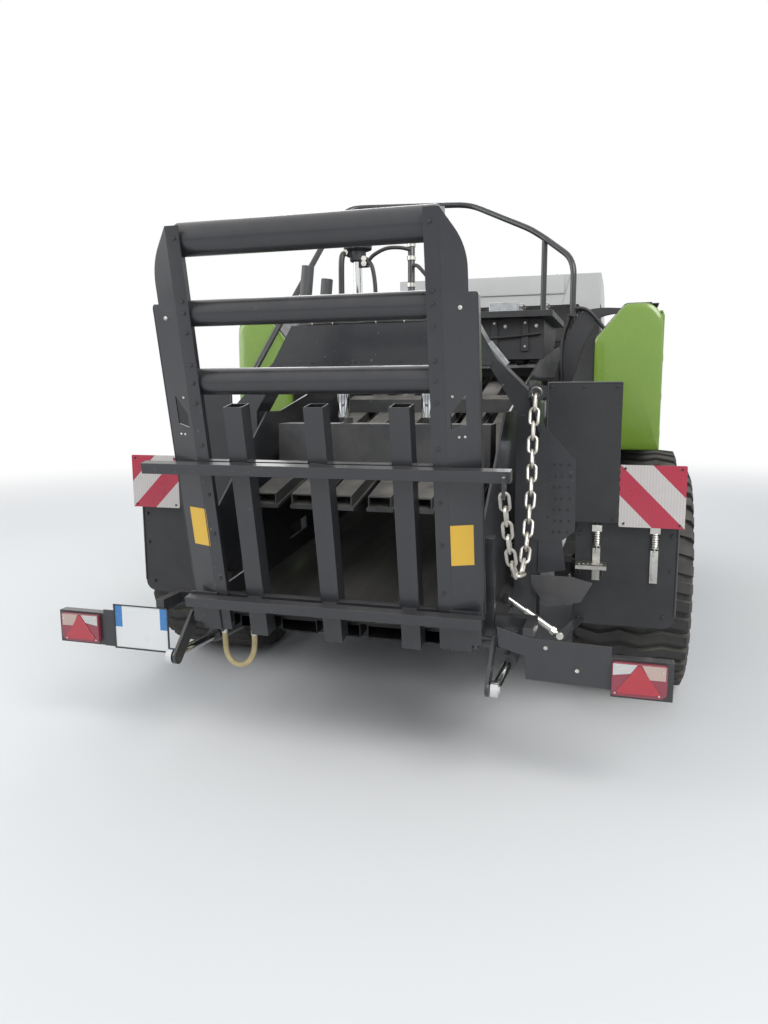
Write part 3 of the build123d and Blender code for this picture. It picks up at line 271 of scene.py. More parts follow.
@dataclass
class Effects:
    """Shader node groups that several finishes share."""

    grey: tuple[float, float, float, float] = (0.5, 0.5, 0.5, 1)
    dust_color: tuple[float, float, float, float] = (0.45, 0.41, 0.34, 1)
    mottle_swing: float = 3.0
    chip_scale: float = 55.0
    chip_level: float = 0.66
    chip_edge: float = 22.0
    patch_scale: float = 2.3
    patch_level: float = 0.48
    patch_edge: float = 9.0
    dust_scale: float = 9.0
    dust_swing: float = 1.5
    dust_offset: float = -0.25
    dust_upward: float = 0.75
    polish_scale: float = 11.0
    dust_roughness: float = 0.45
    mottle: Tree = field(init=False)
    chips: Tree = field(init=False)
    dust: Tree = field(init=False)
    grain: Tree = field(init=False)
    gloss: Tree = field(init=False)

    def __post_init__(self) -> None:
        """Build each group once."""
        self.mottle = self._mottle()
        self.chips = self._chips()
        self.dust = self._dust_and_sunlight()
        self.grain = self._grain()
        self.gloss = self._gloss()

    @staticmethod
    def _group(name: str, inputs: list[tuple[str, str, object]],
               outputs: list[tuple[str, str]]) -> tuple[Tree, bpy.types.Node, bpy.types.Node]:
        """Start a node group.

        Args:
            name: The group's name.
            inputs: Name, socket type and default of each input.
            outputs: Name and socket type of each output.

        Returns:
            The group, its input node and its output node.
        """
        tree = bpy.data.node_groups.new(name, "ShaderNodeTree")
        for label, kind, default in inputs:
            socket = tree.interface.new_socket(name=label, in_out="INPUT", socket_type=f"NodeSocket{kind}")
            socket.default_value = default
        for label, kind in outputs:
            tree.interface.new_socket(name=label, in_out="OUTPUT", socket_type=f"NodeSocket{kind}")
        return tree, tree.nodes.new("NodeGroupInput"), tree.nodes.new("NodeGroupOutput")

    def _mottle(self) -> Tree:
        """Uneven shade over a surface.

        Returns:
            The group.
        """
        tree, start, end = self._group(
            "surface_mottle",
            [("Color", "Color", self.grey), ("Amount", "Float", 0.1), ("Scale", "Float", 4.0),
             ("Stretch", "Vector", (1, 1, 1))],
            [("Color", "Color")])
        wide = noise(tree, start.outputs["Scale"], 5, start.outputs["Stretch"])
        swing = calc(tree, "MULTIPLY", calc(tree, "SUBTRACT", wide, 0.5), self.mottle_swing)
        shade = calc(tree, "MULTIPLY_ADD", swing, start.outputs["Amount"], 1.0)
        tree.links.new(shaded(tree, start.outputs["Color"], shade), end.inputs["Color"])
        return tree

    def _chips(self) -> Tree:
        """Small chips and scuffs where the paint has worn through.

        Returns:
            The group.
        """
        tree, start, end = self._group(
            "paint_chips",
            [("Color", "Color", self.grey), ("Under", "Color", (0.3, 0.3, 0.3, 1)), ("Amount", "Float", 0.1)],
            [("Color", "Color"), ("Mask", "Float")])
        fine = noise(tree, self.chip_scale, 8)
        patch = noise(tree, self.patch_scale, 3)
        sharp = calc(tree, "MULTIPLY", calc(tree, "SUBTRACT", fine, self.chip_level), self.chip_edge)
        where = calc(tree, "MULTIPLY", calc(tree, "SUBTRACT", patch, self.patch_level), self.patch_edge)
        both = calc(tree, "MULTIPLY", clamped(tree, sharp), clamped(tree, where))
        mask = calc(tree, "MULTIPLY", both, start.outputs["Amount"])
        worn = blend(tree, mask, start.outputs["Color"], start.outputs["Under"])
        tree.links.new(worn, end.inputs["Color"])
        tree.links.new(mask, end.inputs["Mask"])
        return tree

    def _dust_and_sunlight(self) -> Tree:
        """Pale dust that settles on faces that look up. Turned high, as on the top rails, it also stands for
        painted sunlight on their upper faces.

        Returns:
            The group.
        """
        tree, start, end = self._group(
            "settled_dust_and_painted_sunlight",
            [("Color", "Color", self.grey), ("Dust", "Color", self.dust_color), ("Amount", "Float", 0.2)],
            [("Color", "Color"), ("Mask", "Float")])
        upward = clamped(tree, facing_up(tree))
        lie = calc(tree, "MULTIPLY_ADD", upward, self.dust_upward, 1 - self.dust_upward)
        patches = noise(tree, self.dust_scale, 7)
        spread = calc(tree, "MULTIPLY_ADD", patches, self.dust_swing, self.dust_offset)
        settled = calc(tree, "MULTIPLY", lie, clamped(tree, spread))
        mask = clamped(tree, calc(tree, "MULTIPLY", settled, start.outputs["Amount"]))
        dusty = blend(tree, mask, start.outputs["Color"], start.outputs["Dust"])
        tree.links.new(dusty, end.inputs["Color"])
        tree.links.new(mask, end.inputs["Mask"])
        return tree

    def _grain(self) -> Tree:
        """Fine relief and uneven polish.

        Returns:
            The group.
        """
        tree, start, end = self._group(
            "fine_grain", [("Scale", "Float", 240.0), ("Stretch", "Vector", (1, 1, 1))],
            [("Height", "Float"), ("Shade", "Float")])
        stretch = start.outputs["Stretch"]
        tree.links.new(noise(tree, start.outputs["Scale"], 3, stretch), end.inputs["Height"])
        tree.links.new(noise(tree, self.polish_scale, 6, stretch), end.inputs["Shade"])
        return tree

    def _gloss(self) -> Tree:
        """Roughness from a base value, the dust on it and uneven polish.

        Returns:
            The group.
        """
        tree, start, end = self._group(
            "uneven_gloss",
            [("Base", "Float", 0.4), ("Dust", "Float", 0.0), ("Shade", "Float", 0.5),
             ("Spread", "Float", 0.2)],
            [("Roughness", "Float")])
        swing = calc(tree, "SUBTRACT", start.outputs["Shade"], 0.5)
        uneven = calc(tree, "MULTIPLY", swing, start.outputs["Spread"])
        dusty = calc(tree, "MULTIPLY_ADD", start.outputs["Dust"], self.dust_roughness, start.outputs["Base"])
        tree.links.new(clamped(tree, calc(tree, "ADD", uneven, dusty)), end.inputs["Roughness"])
        return tree


@dataclass(frozen=True)
class Finish:
    """One surface finish of the machine."""

    name: str
    slot: str
    color: Color
    roughness: float
    metallic: float = 0.0
    coat: float = 0.0
    mottle: float = 0.12
    mottle_scale: float = 4.0
    dust: float = 0.25
    chips: float = 0.3
    under: Color = (0.30, 0.29, 0.28)
    grain_scale: float = 260.0
    grain_depth: float = 0.0005
    spread: float = 0.25
    stretch: Color = (1.0, 1.0, 1.0)

    def base(self, tree: Tree) -> Socket | None:
        """Socket that paints the base colour, or None for the plain colour."""
        return None

    def build(self, effects: Effects) -> bpy.types.Material:
        """Make the finish's material.

        Args:
            effects: The shared node groups.

        Returns:
            The material.
        """
        material = bpy.data.materials.new(self.name)
        material.use_nodes = True
        material.diffuse_color = (*self.color, 1)
        tree = material.node_tree
        shader = tree.nodes["Principled BSDF"]
        shader.inputs["Metallic"].default_value = self.metallic
        shader.inputs["Coat Weight"].default_value = self.coat
        shader.inputs["Coat Roughness"].default_value = 0.12
        mottle = self._place(tree, effects.mottle, Amount=self.mottle, Scale=self.mottle_scale,
                             Stretch=self.stretch)
        mottle.inputs["Color"].default_value = (*self.color, 1)
        paint = self.base(tree)
        if paint is not None:
            tree.links.new(paint, mottle.inputs["Color"])
        chips = self._place(tree, effects.chips, Amount=self.chips)
        chips.inputs["Under"].default_value = (*self.under, 1)
        tree.links.new(mottle.outputs["Color"], chips.inputs["Color"])
        dust = self._place(tree, effects.dust, Amount=self.dust)
        tree.links.new(chips.outputs["Color"], dust.inputs["Color"])
        tree.links.new(dust.outputs["Color"], shader.inputs["Base Color"])
        grain = self._place(tree, effects.grain, Scale=self.grain_scale, Stretch=self.stretch)
        gloss = self._place(tree, effects.gloss, Base=self.roughness, Spread=self.spread)
        tree.links.new(dust.outputs["Mask"], gloss.inputs["Dust"])
        tree.links.new(grain.outputs["Shade"], gloss.inputs["Shade"])
        tree.links.new(gloss.outputs["Roughness"], shader.inputs["Roughness"])
        bump = tree.nodes.new("ShaderNodeBump")
        bump.inputs["Strength"].default_value = 0.6
        bump.inputs["Distance"].default_value = self.grain_depth
        tree.links.new(grain.outputs["Height"], bump.inputs["Height"])
        tree.links.new(bump.outputs["Normal"], shader.inputs["Normal"])
        return material

    @staticmethod
    def _place(tree: Tree, group: Tree, **values: object) -> bpy.types.Node:
        """Place a shared group in a material with its own values.

        Args:
            tree: The material's tree.
            group: The shared group.
            values: Values of the group's inputs.

        Returns:
            The group's node.
        """
        node = tree.nodes.new("ShaderNodeGroup")
        node.node_tree = group
        for name, value in values.items():
            node.inputs[name].default_value = value
        return node


@dataclass(frozen=True)
class WornFloor(Finish):
    """Steel that the bales have polished on top, painted elsewhere."""

    paint: Color = (0.014, 0.015, 0.017)

    def base(self, tree: Tree) -> Socket:
        """Steel on the upper face and paint on the others."""
        top = calc(tree, "GREATER_THAN", facing_up(tree), 0.7)
        return blend(tree, top, self.paint, self.color)


@dataclass(frozen=True)
class StripedBoard(Finish):
    """Red and white slanted stripes of a warning board."""

    white: Color = (0.55, 0.51, 0.49)
    corner: Flat = (1.129, 1.266)
    pitch: float = 0.276
    weave_scale: float = 24.0
    weave_depth: float = 0.14

    def base(self, tree: Tree) -> Socket:
        """Stripes that fall outwards on both sides of the machine.

        Args:
            tree: The material's tree.

        Returns:
            The striped colour's socket.
        """
        run = calc(tree, "SUBTRACT", calc(tree, "ADD", *across_and_up(tree)), sum(self.corner))
        step = calc(tree, "FLOORED_MODULO", run, self.pitch)
        stripe = calc(tree, "GREATER_THAN", step, self.pitch / 2)
        weave = tree.nodes.new("ShaderNodeTexWave")
        weave.inputs["Scale"].default_value = self.weave_scale
        weave.inputs["Distortion"].default_value = 0.4
        tree.links.new(object_place(tree), weave.inputs["Vector"])
        soft = calc(tree, "MULTIPLY_ADD", weave.outputs["Fac"], self.weave_depth, 1 - self.weave_depth)
        return shaded(tree, blend(tree, stripe, self.white, self.color), soft)


@dataclass(frozen=True)
class PlateFace(Finish):
    """Blank number plate with a blue band at each end."""

    band: Color = (0.03, 0.17, 0.42)
    low: float = 0.773
    high: float = 1.048
    band_w: float = 0.040
    middle: float = 0.548

    def base(self, tree: Tree) -> Socket:
        """White, with two blue bands in the upper half.

        Args:
            tree: The material's tree.

        Returns:
            The banded colour's socket.
        """
        across, up = across_and_up(tree)
        near = calc(tree, "LESS_THAN", across, self.low + self.band_w)
        far = calc(tree, "GREATER_THAN", across, self.high - self.band_w)
        upper = calc(tree, "GREATER_THAN", up, self.middle)
        ends = calc(tree, "MULTIPLY", calc(tree, "MAXIMUM", near, far), upper)
        return blend(tree, ends, self.color, self.band)


class Finishes(Enum):
    """Every finish on the machine."""

    FRAME = Finish("frame_satin", "frame_paint", (0.021, 0.022, 0.026), 0.34,
                   coat=0.35, chips=0.45, dust=0.09)
    FRAME_MATT = Finish("frame_matt", "frame_paint", (0.018, 0.019, 0.022), 0.50,
                        chips=0.3, dust=0.17)
    GREEN = Finish("green_enamel", "green_paint", (0.165, 0.285, 0.030), 0.24,
                   coat=0.6, mottle=0.06, chips=0.05, dust=0.10, grain_scale=90.0, grain_depth=0.0003)
    GREEN_SHELL = Finish("green_shell", "green_plastic", (0.175, 0.300, 0.030), 0.20,
                         coat=0.7, mottle=0.06, chips=0.0, dust=0.10, grain_scale=70.0, grain_depth=0.0003)
    PALE_SHELL = Finish("pale_shell", "light_plastic", (0.55, 0.55, 0.53), 0.44,
                        coat=0.12, mottle=0.06, chips=0.0, dust=0.14, grain_scale=90.0, grain_depth=0.0004)
    DARK_SHEET = Finish("dark_sheet", "dark_plastic", (0.014, 0.015, 0.018), 0.42,
                        mottle=0.25, chips=0.15, dust=0.14)
    SEAM = Finish("rubber_seam", "dark_plastic", (0.012, 0.012, 0.013), 0.62,
                  mottle=0.2, chips=0.0, dust=0.15, grain_scale=160.0, grain_depth=0.0008)
    CHAMBER = Finish("worn_chamber_steel", "chamber_steel", (0.17, 0.165, 0.16), 0.34,
                     metallic=0.85, mottle=0.45, mottle_scale=9.0, chips=0.4, under=(0.20, 0.10, 0.05),
                     stretch=(1.0, 0.06, 1.0), spread=0.5)
    FLOOR = WornFloor("worn_floor_steel", "chamber_steel", (0.17, 0.165, 0.16), 0.34,
                      metallic=0.85, mottle=0.45, mottle_scale=9.0, chips=0.4, under=(0.20, 0.10, 0.05),
                      stretch=(1.0, 0.06, 1.0), spread=0.5, dust=0.12)
    # Heavy pale dust on the rails' upward faces: partly chaff dust, partly painted sunlight that lightens
    # their tops.
    RAIL_DUST_AND_SUNLIGHT = Finish("rails_dust_and_painted_sunlight", "frame_paint", (0.028, 0.030, 0.034), 0.40,
                   coat=0.2, chips=0.8, under=(0.22, 0.22, 0.22), dust=0.55)
    BRIGHT = Finish("bright_steel", "bare_steel", (0.45, 0.45, 0.44), 0.28,
                    metallic=1.0, mottle=0.2, chips=0.1)
    GALVANISED = Finish("galvanised_steel", "galvanised", (0.46, 0.48, 0.49), 0.38,
                        metallic=0.9, mottle=0.35, mottle_scale=30.0, chips=0.05, dust=0.2)
    ZINC = Finish("zinc_plate", "zinc", (0.60, 0.59, 0.55), 0.30,
                  metallic=1.0, mottle=0.3, mottle_scale=16.0, chips=0.15, under=(0.28, 0.20, 0.12),
                  dust=0.15)
    CHROME = Finish("chrome_rod", "chrome", (0.72, 0.73, 0.74), 0.08,
                    metallic=1.0, mottle=0.03, chips=0.0, dust=0.04, grain_depth=0.00005, spread=0.05)
    CASTING = Finish("painted_casting", "cast_grey", (0.060, 0.062, 0.066), 0.48,
                     mottle=0.2, chips=0.25, dust=0.3, grain_scale=120.0, grain_depth=0.0018)
    TYRE = Finish("dusty_rubber", "tyre", (0.017, 0.017, 0.018), 0.74,
                  mottle=0.35, mottle_scale=7.0, chips=0.0, dust=0.34, grain_scale=90.0, grain_depth=0.0015)
    RIM = Finish("rim_silver", "rim_paint", (0.42, 0.43, 0.42), 0.34,
                 coat=0.3, mottle=0.08, chips=0.15, dust=0.3)
    CHAIN = Finish("weathered_chain", "zinc", (0.46, 0.44, 0.40), 0.36,
                   metallic=0.9, mottle=0.4, mottle_scale=22.0, chips=0.8,
                   under=(0.24, 0.15, 0.09), dust=0.25)
    HOSE = Finish("straw_hose", "hose", (0.50, 0.40, 0.20), 0.42,
                  mottle=0.25, mottle_scale=20.0, chips=0.0, dust=0.2, grain_scale=180.0, grain_depth=0.001)
    BLACK_HOSE = Finish("hydraulic_hose", "dark_plastic", (0.016, 0.016, 0.017), 0.42,
                        mottle=0.1, chips=0.0, dust=0.2, grain_scale=420.0, grain_depth=0.0008)
    LENS_RED = Finish("lens_red", "lamp_red", (0.40, 0.014, 0.030), 0.10,
                      coat=0.8, mottle=0.05, chips=0.0, dust=0.05, grain_scale=420.0, grain_depth=0.002,
                      spread=0.05)
    LENS_DEEP = Finish("lens_deep_red", "lamp_red", (0.24, 0.022, 0.045), 0.12,
                       coat=0.8, mottle=0.08, chips=0.0, dust=0.05, grain_scale=420.0, grain_depth=0.002,
                       spread=0.05)
    LENS_CLEAR = Finish("lens_clear", "plate_white", (0.50, 0.49, 0.48), 0.10,
                        coat=0.8, mottle=0.08, chips=0.0, dust=0.05, grain_scale=420.0, grain_depth=0.003,
                        spread=0.05)
    LENS_AMBER = Finish("lens_amber", "lamp_red", (0.46, 0.34, 0.29), 0.12,
                        coat=0.8, mottle=0.08, chips=0.0, dust=0.05, grain_scale=420.0, grain_depth=0.003,
                        spread=0.05)
    STICKER = Finish("yellow_sticker", "plate_white", (0.66, 0.40, 0.03), 0.35,
                     coat=0.3, mottle=0.05, chips=0.0, dust=0.08)
    BOARD = StripedBoard("striped_board", "board_red", (0.42, 0.012, 0.045), 0.30,
                         coat=0.5, mottle=0.05, chips=0.0, dust=0.08)
    PLATE = PlateFace("blank_plate", "plate_white", (0.66, 0.67, 0.66), 0.30,
                      coat=0.4, mottle=0.03, chips=0.0, dust=0.08)


class Paintshop:
    """Makes each material once and puts it on pieces and nodes."""

    def __init__(self) -> None:
        """Start with the shared effects and no materials."""
        self.effects = Effects()
        self.made: dict[Finishes, bpy.types.Material] = {}

    def paint(self, piece: bpy.types.Object, finish: Finishes) -> None:
        """Give a piece one finish all over.

        Args:
            piece: The mesh or curve object.
            finish: The finish that it gets.
        """
        if finish not in self.made:
            self.made[finish] = finish.value.build(self.effects)
        piece.data.materials.clear()
        piece.data.materials.append(self.made[finish])


def smooth_line(points: list[Vector], steps: int = 8) -> list[Vector]:
    """Curve through points.

    Args:
        points: The points that it passes.
        steps: Pieces between two of them.

    Returns:
        Closer points along the curve.
    """
    padded = [points[0] * 2 - points[1]] + points + [points[-1] * 2 - points[-2]]
    line = []
    for a, b, c, d in zip(padded, padded[1:], padded[2:], padded[3:]):
        for k in range(steps):
            t = k / steps
            line.append(0.5 * (2 * b + (c - a) * t + (2 * a - 5 * b + 4 * c - d) * t ** 2
                               + (3 * b - a - 3 * c + d) * t ** 3))
    return line + [points[-1]]


def bent_line(points: list[Vector], radius: float, steps: int = 6, closed: bool = False) -> list[Vector]:
    """Line of a bent tube or a rounded outline.

    Args:
        points: Its corners.
        radius: How far from a corner the bend begins, metres.
        steps: Pieces of each bend.
        closed: Whether the last corner joins the first.

    Returns:
        Closer points with the corners rounded.
    """
    count = len(points)
    # Share of a side that one bend may take
    most = 0.45
    line = []
    for i, corner in enumerate(points):
        if not closed and i in (0, count - 1):
            line.append(corner)
            continue
        before = points[i - 1] - corner
        after = points[(i + 1) % count] - corner
        reach = min(radius, before.length * most, after.length * most)
        a = corner + before.normalized() * reach
        b = corner + after.normalized() * reach
        for k in range(steps + 1):
            t = k / steps
            line.append(a * (1 - t) ** 2 + corner * 2 * t * (1 - t) + b * t ** 2)
    return line


def even_line(points: list[Vector], count: int) -> list[Vector]:
    """Points at even distances along a line.

    Args:
        points: The line.
        count: How many stretches it is cut into.

    Returns:
        One more point than stretches.
    """
    lengths = [0.0]
    for a, b in zip(points, points[1:]):
        lengths.append(lengths[-1] + (b - a).length)
    even = []
    k = 0
    for i in range(count + 1):
        target = lengths[-1] * i / count
        while k < len(lengths) - 2 and lengths[k + 1] < target:
            k += 1
        share = (target - lengths[k]) / (lengths[k + 1] - lengths[k])
        even.append(points[k].lerp(points[k + 1], share))
    return even


def round_edges(piece: bpy.types.Object, width: float, weld: bool = True) -> None:
    """Round a piece's edges with modifiers.

    Args:
        piece: The object.
        width: Width of the rounding, millimetres.
        weld: Whether doubled corners are joined first.
    """
    if weld:
        piece.modifiers.new("joined_corners", "WELD").merge_threshold = 0.00005
    bevel = piece.modifiers.new("rounded_edges", "BEVEL")
    bevel.width = width / 1000
    bevel.segments = 2
    bevel.limit_method = "ANGLE"
    bevel.angle_limit = math.radians(40)
    bevel.use_clamp_overlap = True
    bevel.harden_normals = True


class Shape:
    """A mesh under construction, in metres and in the machine's frame."""

    def __init__(self) -> None:
        """Start an empty mesh."""
        self.mesh = bmesh.new()

    def ring(self, points: list[Vector]) -> list[bmesh.types.BMVert]:
        """Add corners at points."""
        return [self.mesh.verts.new(p) for p in points]

    def skin(self, rings: list[list[bmesh.types.BMVert]], closed: bool = False) -> "Shape":
        """Join rings of corners into a tube.

        Args:
            rings: Rings with as many corners each.
            closed: Whether the last ring joins the first. Otherwise both ends are capped.

        Returns:
            The shape, so that calls can follow each other.
        """
        pairs = list(zip(rings, rings[1:])) + ([(rings[-1], rings[0])] if closed else [])
        for near, far in pairs:
            for i in range(len(near)):
                j = (i + 1) % len(near)
                self.mesh.faces.new((near[i], near[j], far[j], far[i]))
        if not closed:
            self.mesh.faces.new(rings[0][::-1])
            self.mesh.faces.new(rings[-1])
        return self

    def prism(self, outline: list[Vector], depth: Vector) -> "Shape":
        """Solid between a flat outline and its copy.

        Args:
            outline: Corners in order.
            depth: From the outline to its copy.

        Returns:
            The shape.
        """
        near = self.ring(outline)
        far = self.ring([p + depth for p in outline])
        self.mesh.faces.new(near)
        self.mesh.faces.new(far[::-1])
        for i in range(len(near)):
            j = (i + 1) % len(near)
            self.mesh.faces.new((near[j], near[i], far[i], far[j]))
        return self

    def box(self, x: Flat, y: Flat, z: Flat) -> "Shape":
        """Box between two X, Y and Z values in millimetres."""
        low = [at(x[0], y[0], z[0]), at(x[1], y[0], z[0]), at(x[1], y[0], z[1]), at(x[0], y[0], z[1])]
        return self.prism(low, at(0, y[1] - y[0], 0))

    def plate_xz(self, outline: Outline, y0: float, y1: float) -> "Shape":
        """Plate with an outline of X and Z in millimetres, between two Y values."""
        return self.prism([at(x, y0, z) for x, z in outline], at(0, y1 - y0, 0))

    def plate_yz(self, outline: Outline, x0: float, x1: float) -> "Shape":
        """Plate with an outline of Y and Z in millimetres, between two X values."""
        return self.prism([at(x0, y, z) for y, z in outline], at(x1 - x0, 0, 0))

    def lathe(self, start: Vector, axis: Vector, profile: Outline, sides: int = 16,
              closed: bool = False) -> "Shape":
        """Turned form about an axis.

        Args:
            start: Where the axis begins.
            axis: The axis' direction.
            profile: Distance along the axis and radius of each ring.
            sides: Corners of each ring.
            closed: Whether the last ring joins the first, as in a tyre.

        Returns:
            The shape.
        """
        turn = axis.to_track_quat("Z", "Y").to_matrix()
        angles = [math.tau * i / sides for i in range(sides)]
        rings = [self.ring([start + turn @ Vector((radius * math.cos(a), radius * math.sin(a), distance))
                            for a in angles])
                 for distance, radius in profile]
        return self.skin(rings, closed)

    def rod(self, start: Vector, end: Vector, radius: float, sides: int = 14) -> "Shape":
        """Round bar with chamfered ends.

        Args:
            start: Middle of one end.
            end: Middle of the other end.
            radius: The bar's radius, millimetres.
            sides: Corners of its section.

        Returns:
            The shape.
        """
        run = end - start
        r = radius / 1000
        chamfer = r * 0.1
        profile = [(0, r * 0.9), (chamfer, r), (run.length - chamfer, r), (run.length, r * 0.9)]
        return self.lathe(start, run, profile, sides)

    def bolt(self, place: Vector, way: Vector, across: float = 19) -> "Shape":
        """Washer and hexagon head on a surface.

        Args:
            place: Middle of the seat.
            way: Outwards from the surface.
            across: Width across the flats, millimetres.

        Returns:
            The shape.
        """
        r = across / 2000
        self.lathe(place, way, [(-0.001, r * 1.25), (0.0022, r * 1.25)], 14)
        return self.lathe(place, way, [(0.002, r * 1.1), (r * 0.95, r * 1.1), (r * 1.12, r * 0.88)], 6)

    def sweep(self, path: list[Vector], radius: float, sides: int = 10, closed: bool = False) -> "Shape":
        """Tube along a line of points.

        Args:
            path: The points.
            radius: The tube's radius in millimetres.
            sides: Corners of its section.
            closed: Whether the last point joins the first.

        Returns:
            The shape.
        """
        count = len(path)
        angles = [math.tau * k / sides for k in range(sides)]
        rings = []
        normal = UP
        for i, point in enumerate(path):
            before = path[i - 1] if i or closed else path[i]
            after = path[(i + 1) % count] if i < count - 1 or closed else path[i]
            run = (after - before).normalized()
            if i == 0 and abs(run.z) > 0.9:
                normal = FORWARDS
            normal = (normal - run * normal.dot(run)).normalized()
            side = run.cross(normal)
            rings.append(self.ring([point + (normal * math.cos(a) + side * math.sin(a)) * radius / 1000
                                    for a in angles]))
        return self.skin(rings, closed)

    def hose(self, spots: list[Spot] | tuple[Spot, ...], radius: float, y: float = 0.0) -> "Shape":
        """Curved hose through points in millimetres, with a Y that is added to each."""
        return self.sweep(smooth_line([at(x, y + dy, z) for x, dy, z in spots]), radius)


@dataclass
class Assembly:
    """A sub-assembly that makes its own pieces."""

    shop: Paintshop

    def build(self) -> None:
        """Make the sub-assembly's pieces."""
        raise NotImplementedError

    def make(self, shape: Shape, name: str, finish: Finishes, body: Body | None = Body.MACHINE,
             bevel: float = 0.0) -> bpy.types.Object:
        """Turn a shape into a finished piece.

        Args:
            shape: The shape, which is used up.
            name: The piece's name.
            finish: Its finish.
            body: The body that it rides on, or None where the caller sees to it.
            bevel: Width of the rounded edges, millimetres.

        Returns:
            The new object.
        """
        bmesh.ops.recalc_face_normals(shape.mesh, faces=shape.mesh.faces)
        for face in shape.mesh.faces:
            face.smooth = True
        for edge in shape.mesh.edges:
            if len(edge.link_faces) == 2 and edge.calc_face_angle(0.0) > math.radians(38):
                edge.smooth = False
        data = bpy.data.meshes.new(name)
        shape.mesh.to_mesh(data)
        shape.mesh.free()
        piece = bpy.data.objects.new(name, data)
        bpy.context.scene.collection.objects.link(piece)
        if bevel:
            round_edges(piece, bevel, weld=False)
        self.shop.paint(piece, finish)
        if body is not None:
            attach(piece, body.value)
        LOG.info("%s: %d faces", name, len(data.polygons))
        return piece


@dataclass
class FrameDress(Assembly):
    """Finishes and rounded edges of the nodes that come from the frame."""

    edge: float = 2.5
    rounded: tuple[str, ...] = (
        "chamber_walls", "press_portal", "chute_sides", "chute_grid", "top_rails", "lamp_arms", "side_bodies",
        "side_caps", "side_frame", "platform", "front_frame", "drawbar", "front_hood", "side_door_left",
        "side_door_right", "rear_guards", "axle_beam", "rocker_beams", "pickup_frame", "gearbox",
        "wind_guard")

    @staticmethod
    def _finishes() -> dict[str, Finishes]:
        """Sort the nodes by finish.

        Returns:
            The finish of each node's name, apart from the wheels.
        """
        nodes_of = {
            Finishes.FRAME: ("chamber_walls", "press_portal", "lamp_arms", "side_frame", "railing",
                             "front_frame", "drawbar", "chute_sides", "chute_grid", "chute_roller_1",
                             "chute_roller_2", "chute_roller_3", "fold_barrels", "needle_yoke",
                             "pickup_frame", "wind_guard", "crop_roller"),
            Finishes.FRAME_MATT: ("chamber_roof", "axle_beam", "rocker_beams", "side_bodies", "platform",
                                  "feed_housing", "pickup_reel"),
            Finishes.GREEN: ("side_caps",),
            Finishes.GREEN_SHELL: ("side_door_left", "side_door_right"),
            Finishes.PALE_SHELL: ("front_hood",),
            Finishes.DARK_SHEET: ("rear_guards",),
            Finishes.CHAMBER: ("plunger", "feed_rotor"),
            Finishes.FLOOR: ("chamber_floor",),
            # The top rails get heavy dust that also paints sunlight on their upper faces.
            Finishes.RAIL_DUST_AND_SUNLIGHT: ("top_rails",),
            Finishes.BRIGHT: ("hitch_eye", "needles"),
            Finishes.GALVANISED: ("pickup_bands",),
            Finishes.ZINC: ("spring_latches", "jack_leg", "chain"),
            Finishes.CHROME: ("centre_ram", "fold_rods", "press_rods"),
            Finishes.CASTING: ("knotters", "gearbox", "flywheel"),
            Finishes.HOSE: ("hose_loop",),
            Finishes.LENS_DEEP: ("tail_lamps",),
            Finishes.BOARD: ("warning_boards",),
            Finishes.PLATE: ("number_plate",),
        }
        return {name: finish for finish, names in nodes_of.items() for name in names}

    def build(self) -> None:
        """Put every node's finish on it."""
        finishes = self._finishes()
        for name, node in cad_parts.items():
            wheel = Finishes.TYRE if name.startswith(("tyre", "gauge")) else Finishes.RIM
            finish = finishes.get(name, wheel)
            self.shop.paint(node, finish)
            if name in self.rounded:
                round_edges(node, self.edge)
            LOG.info("%s: %s", name, finish.value.name)


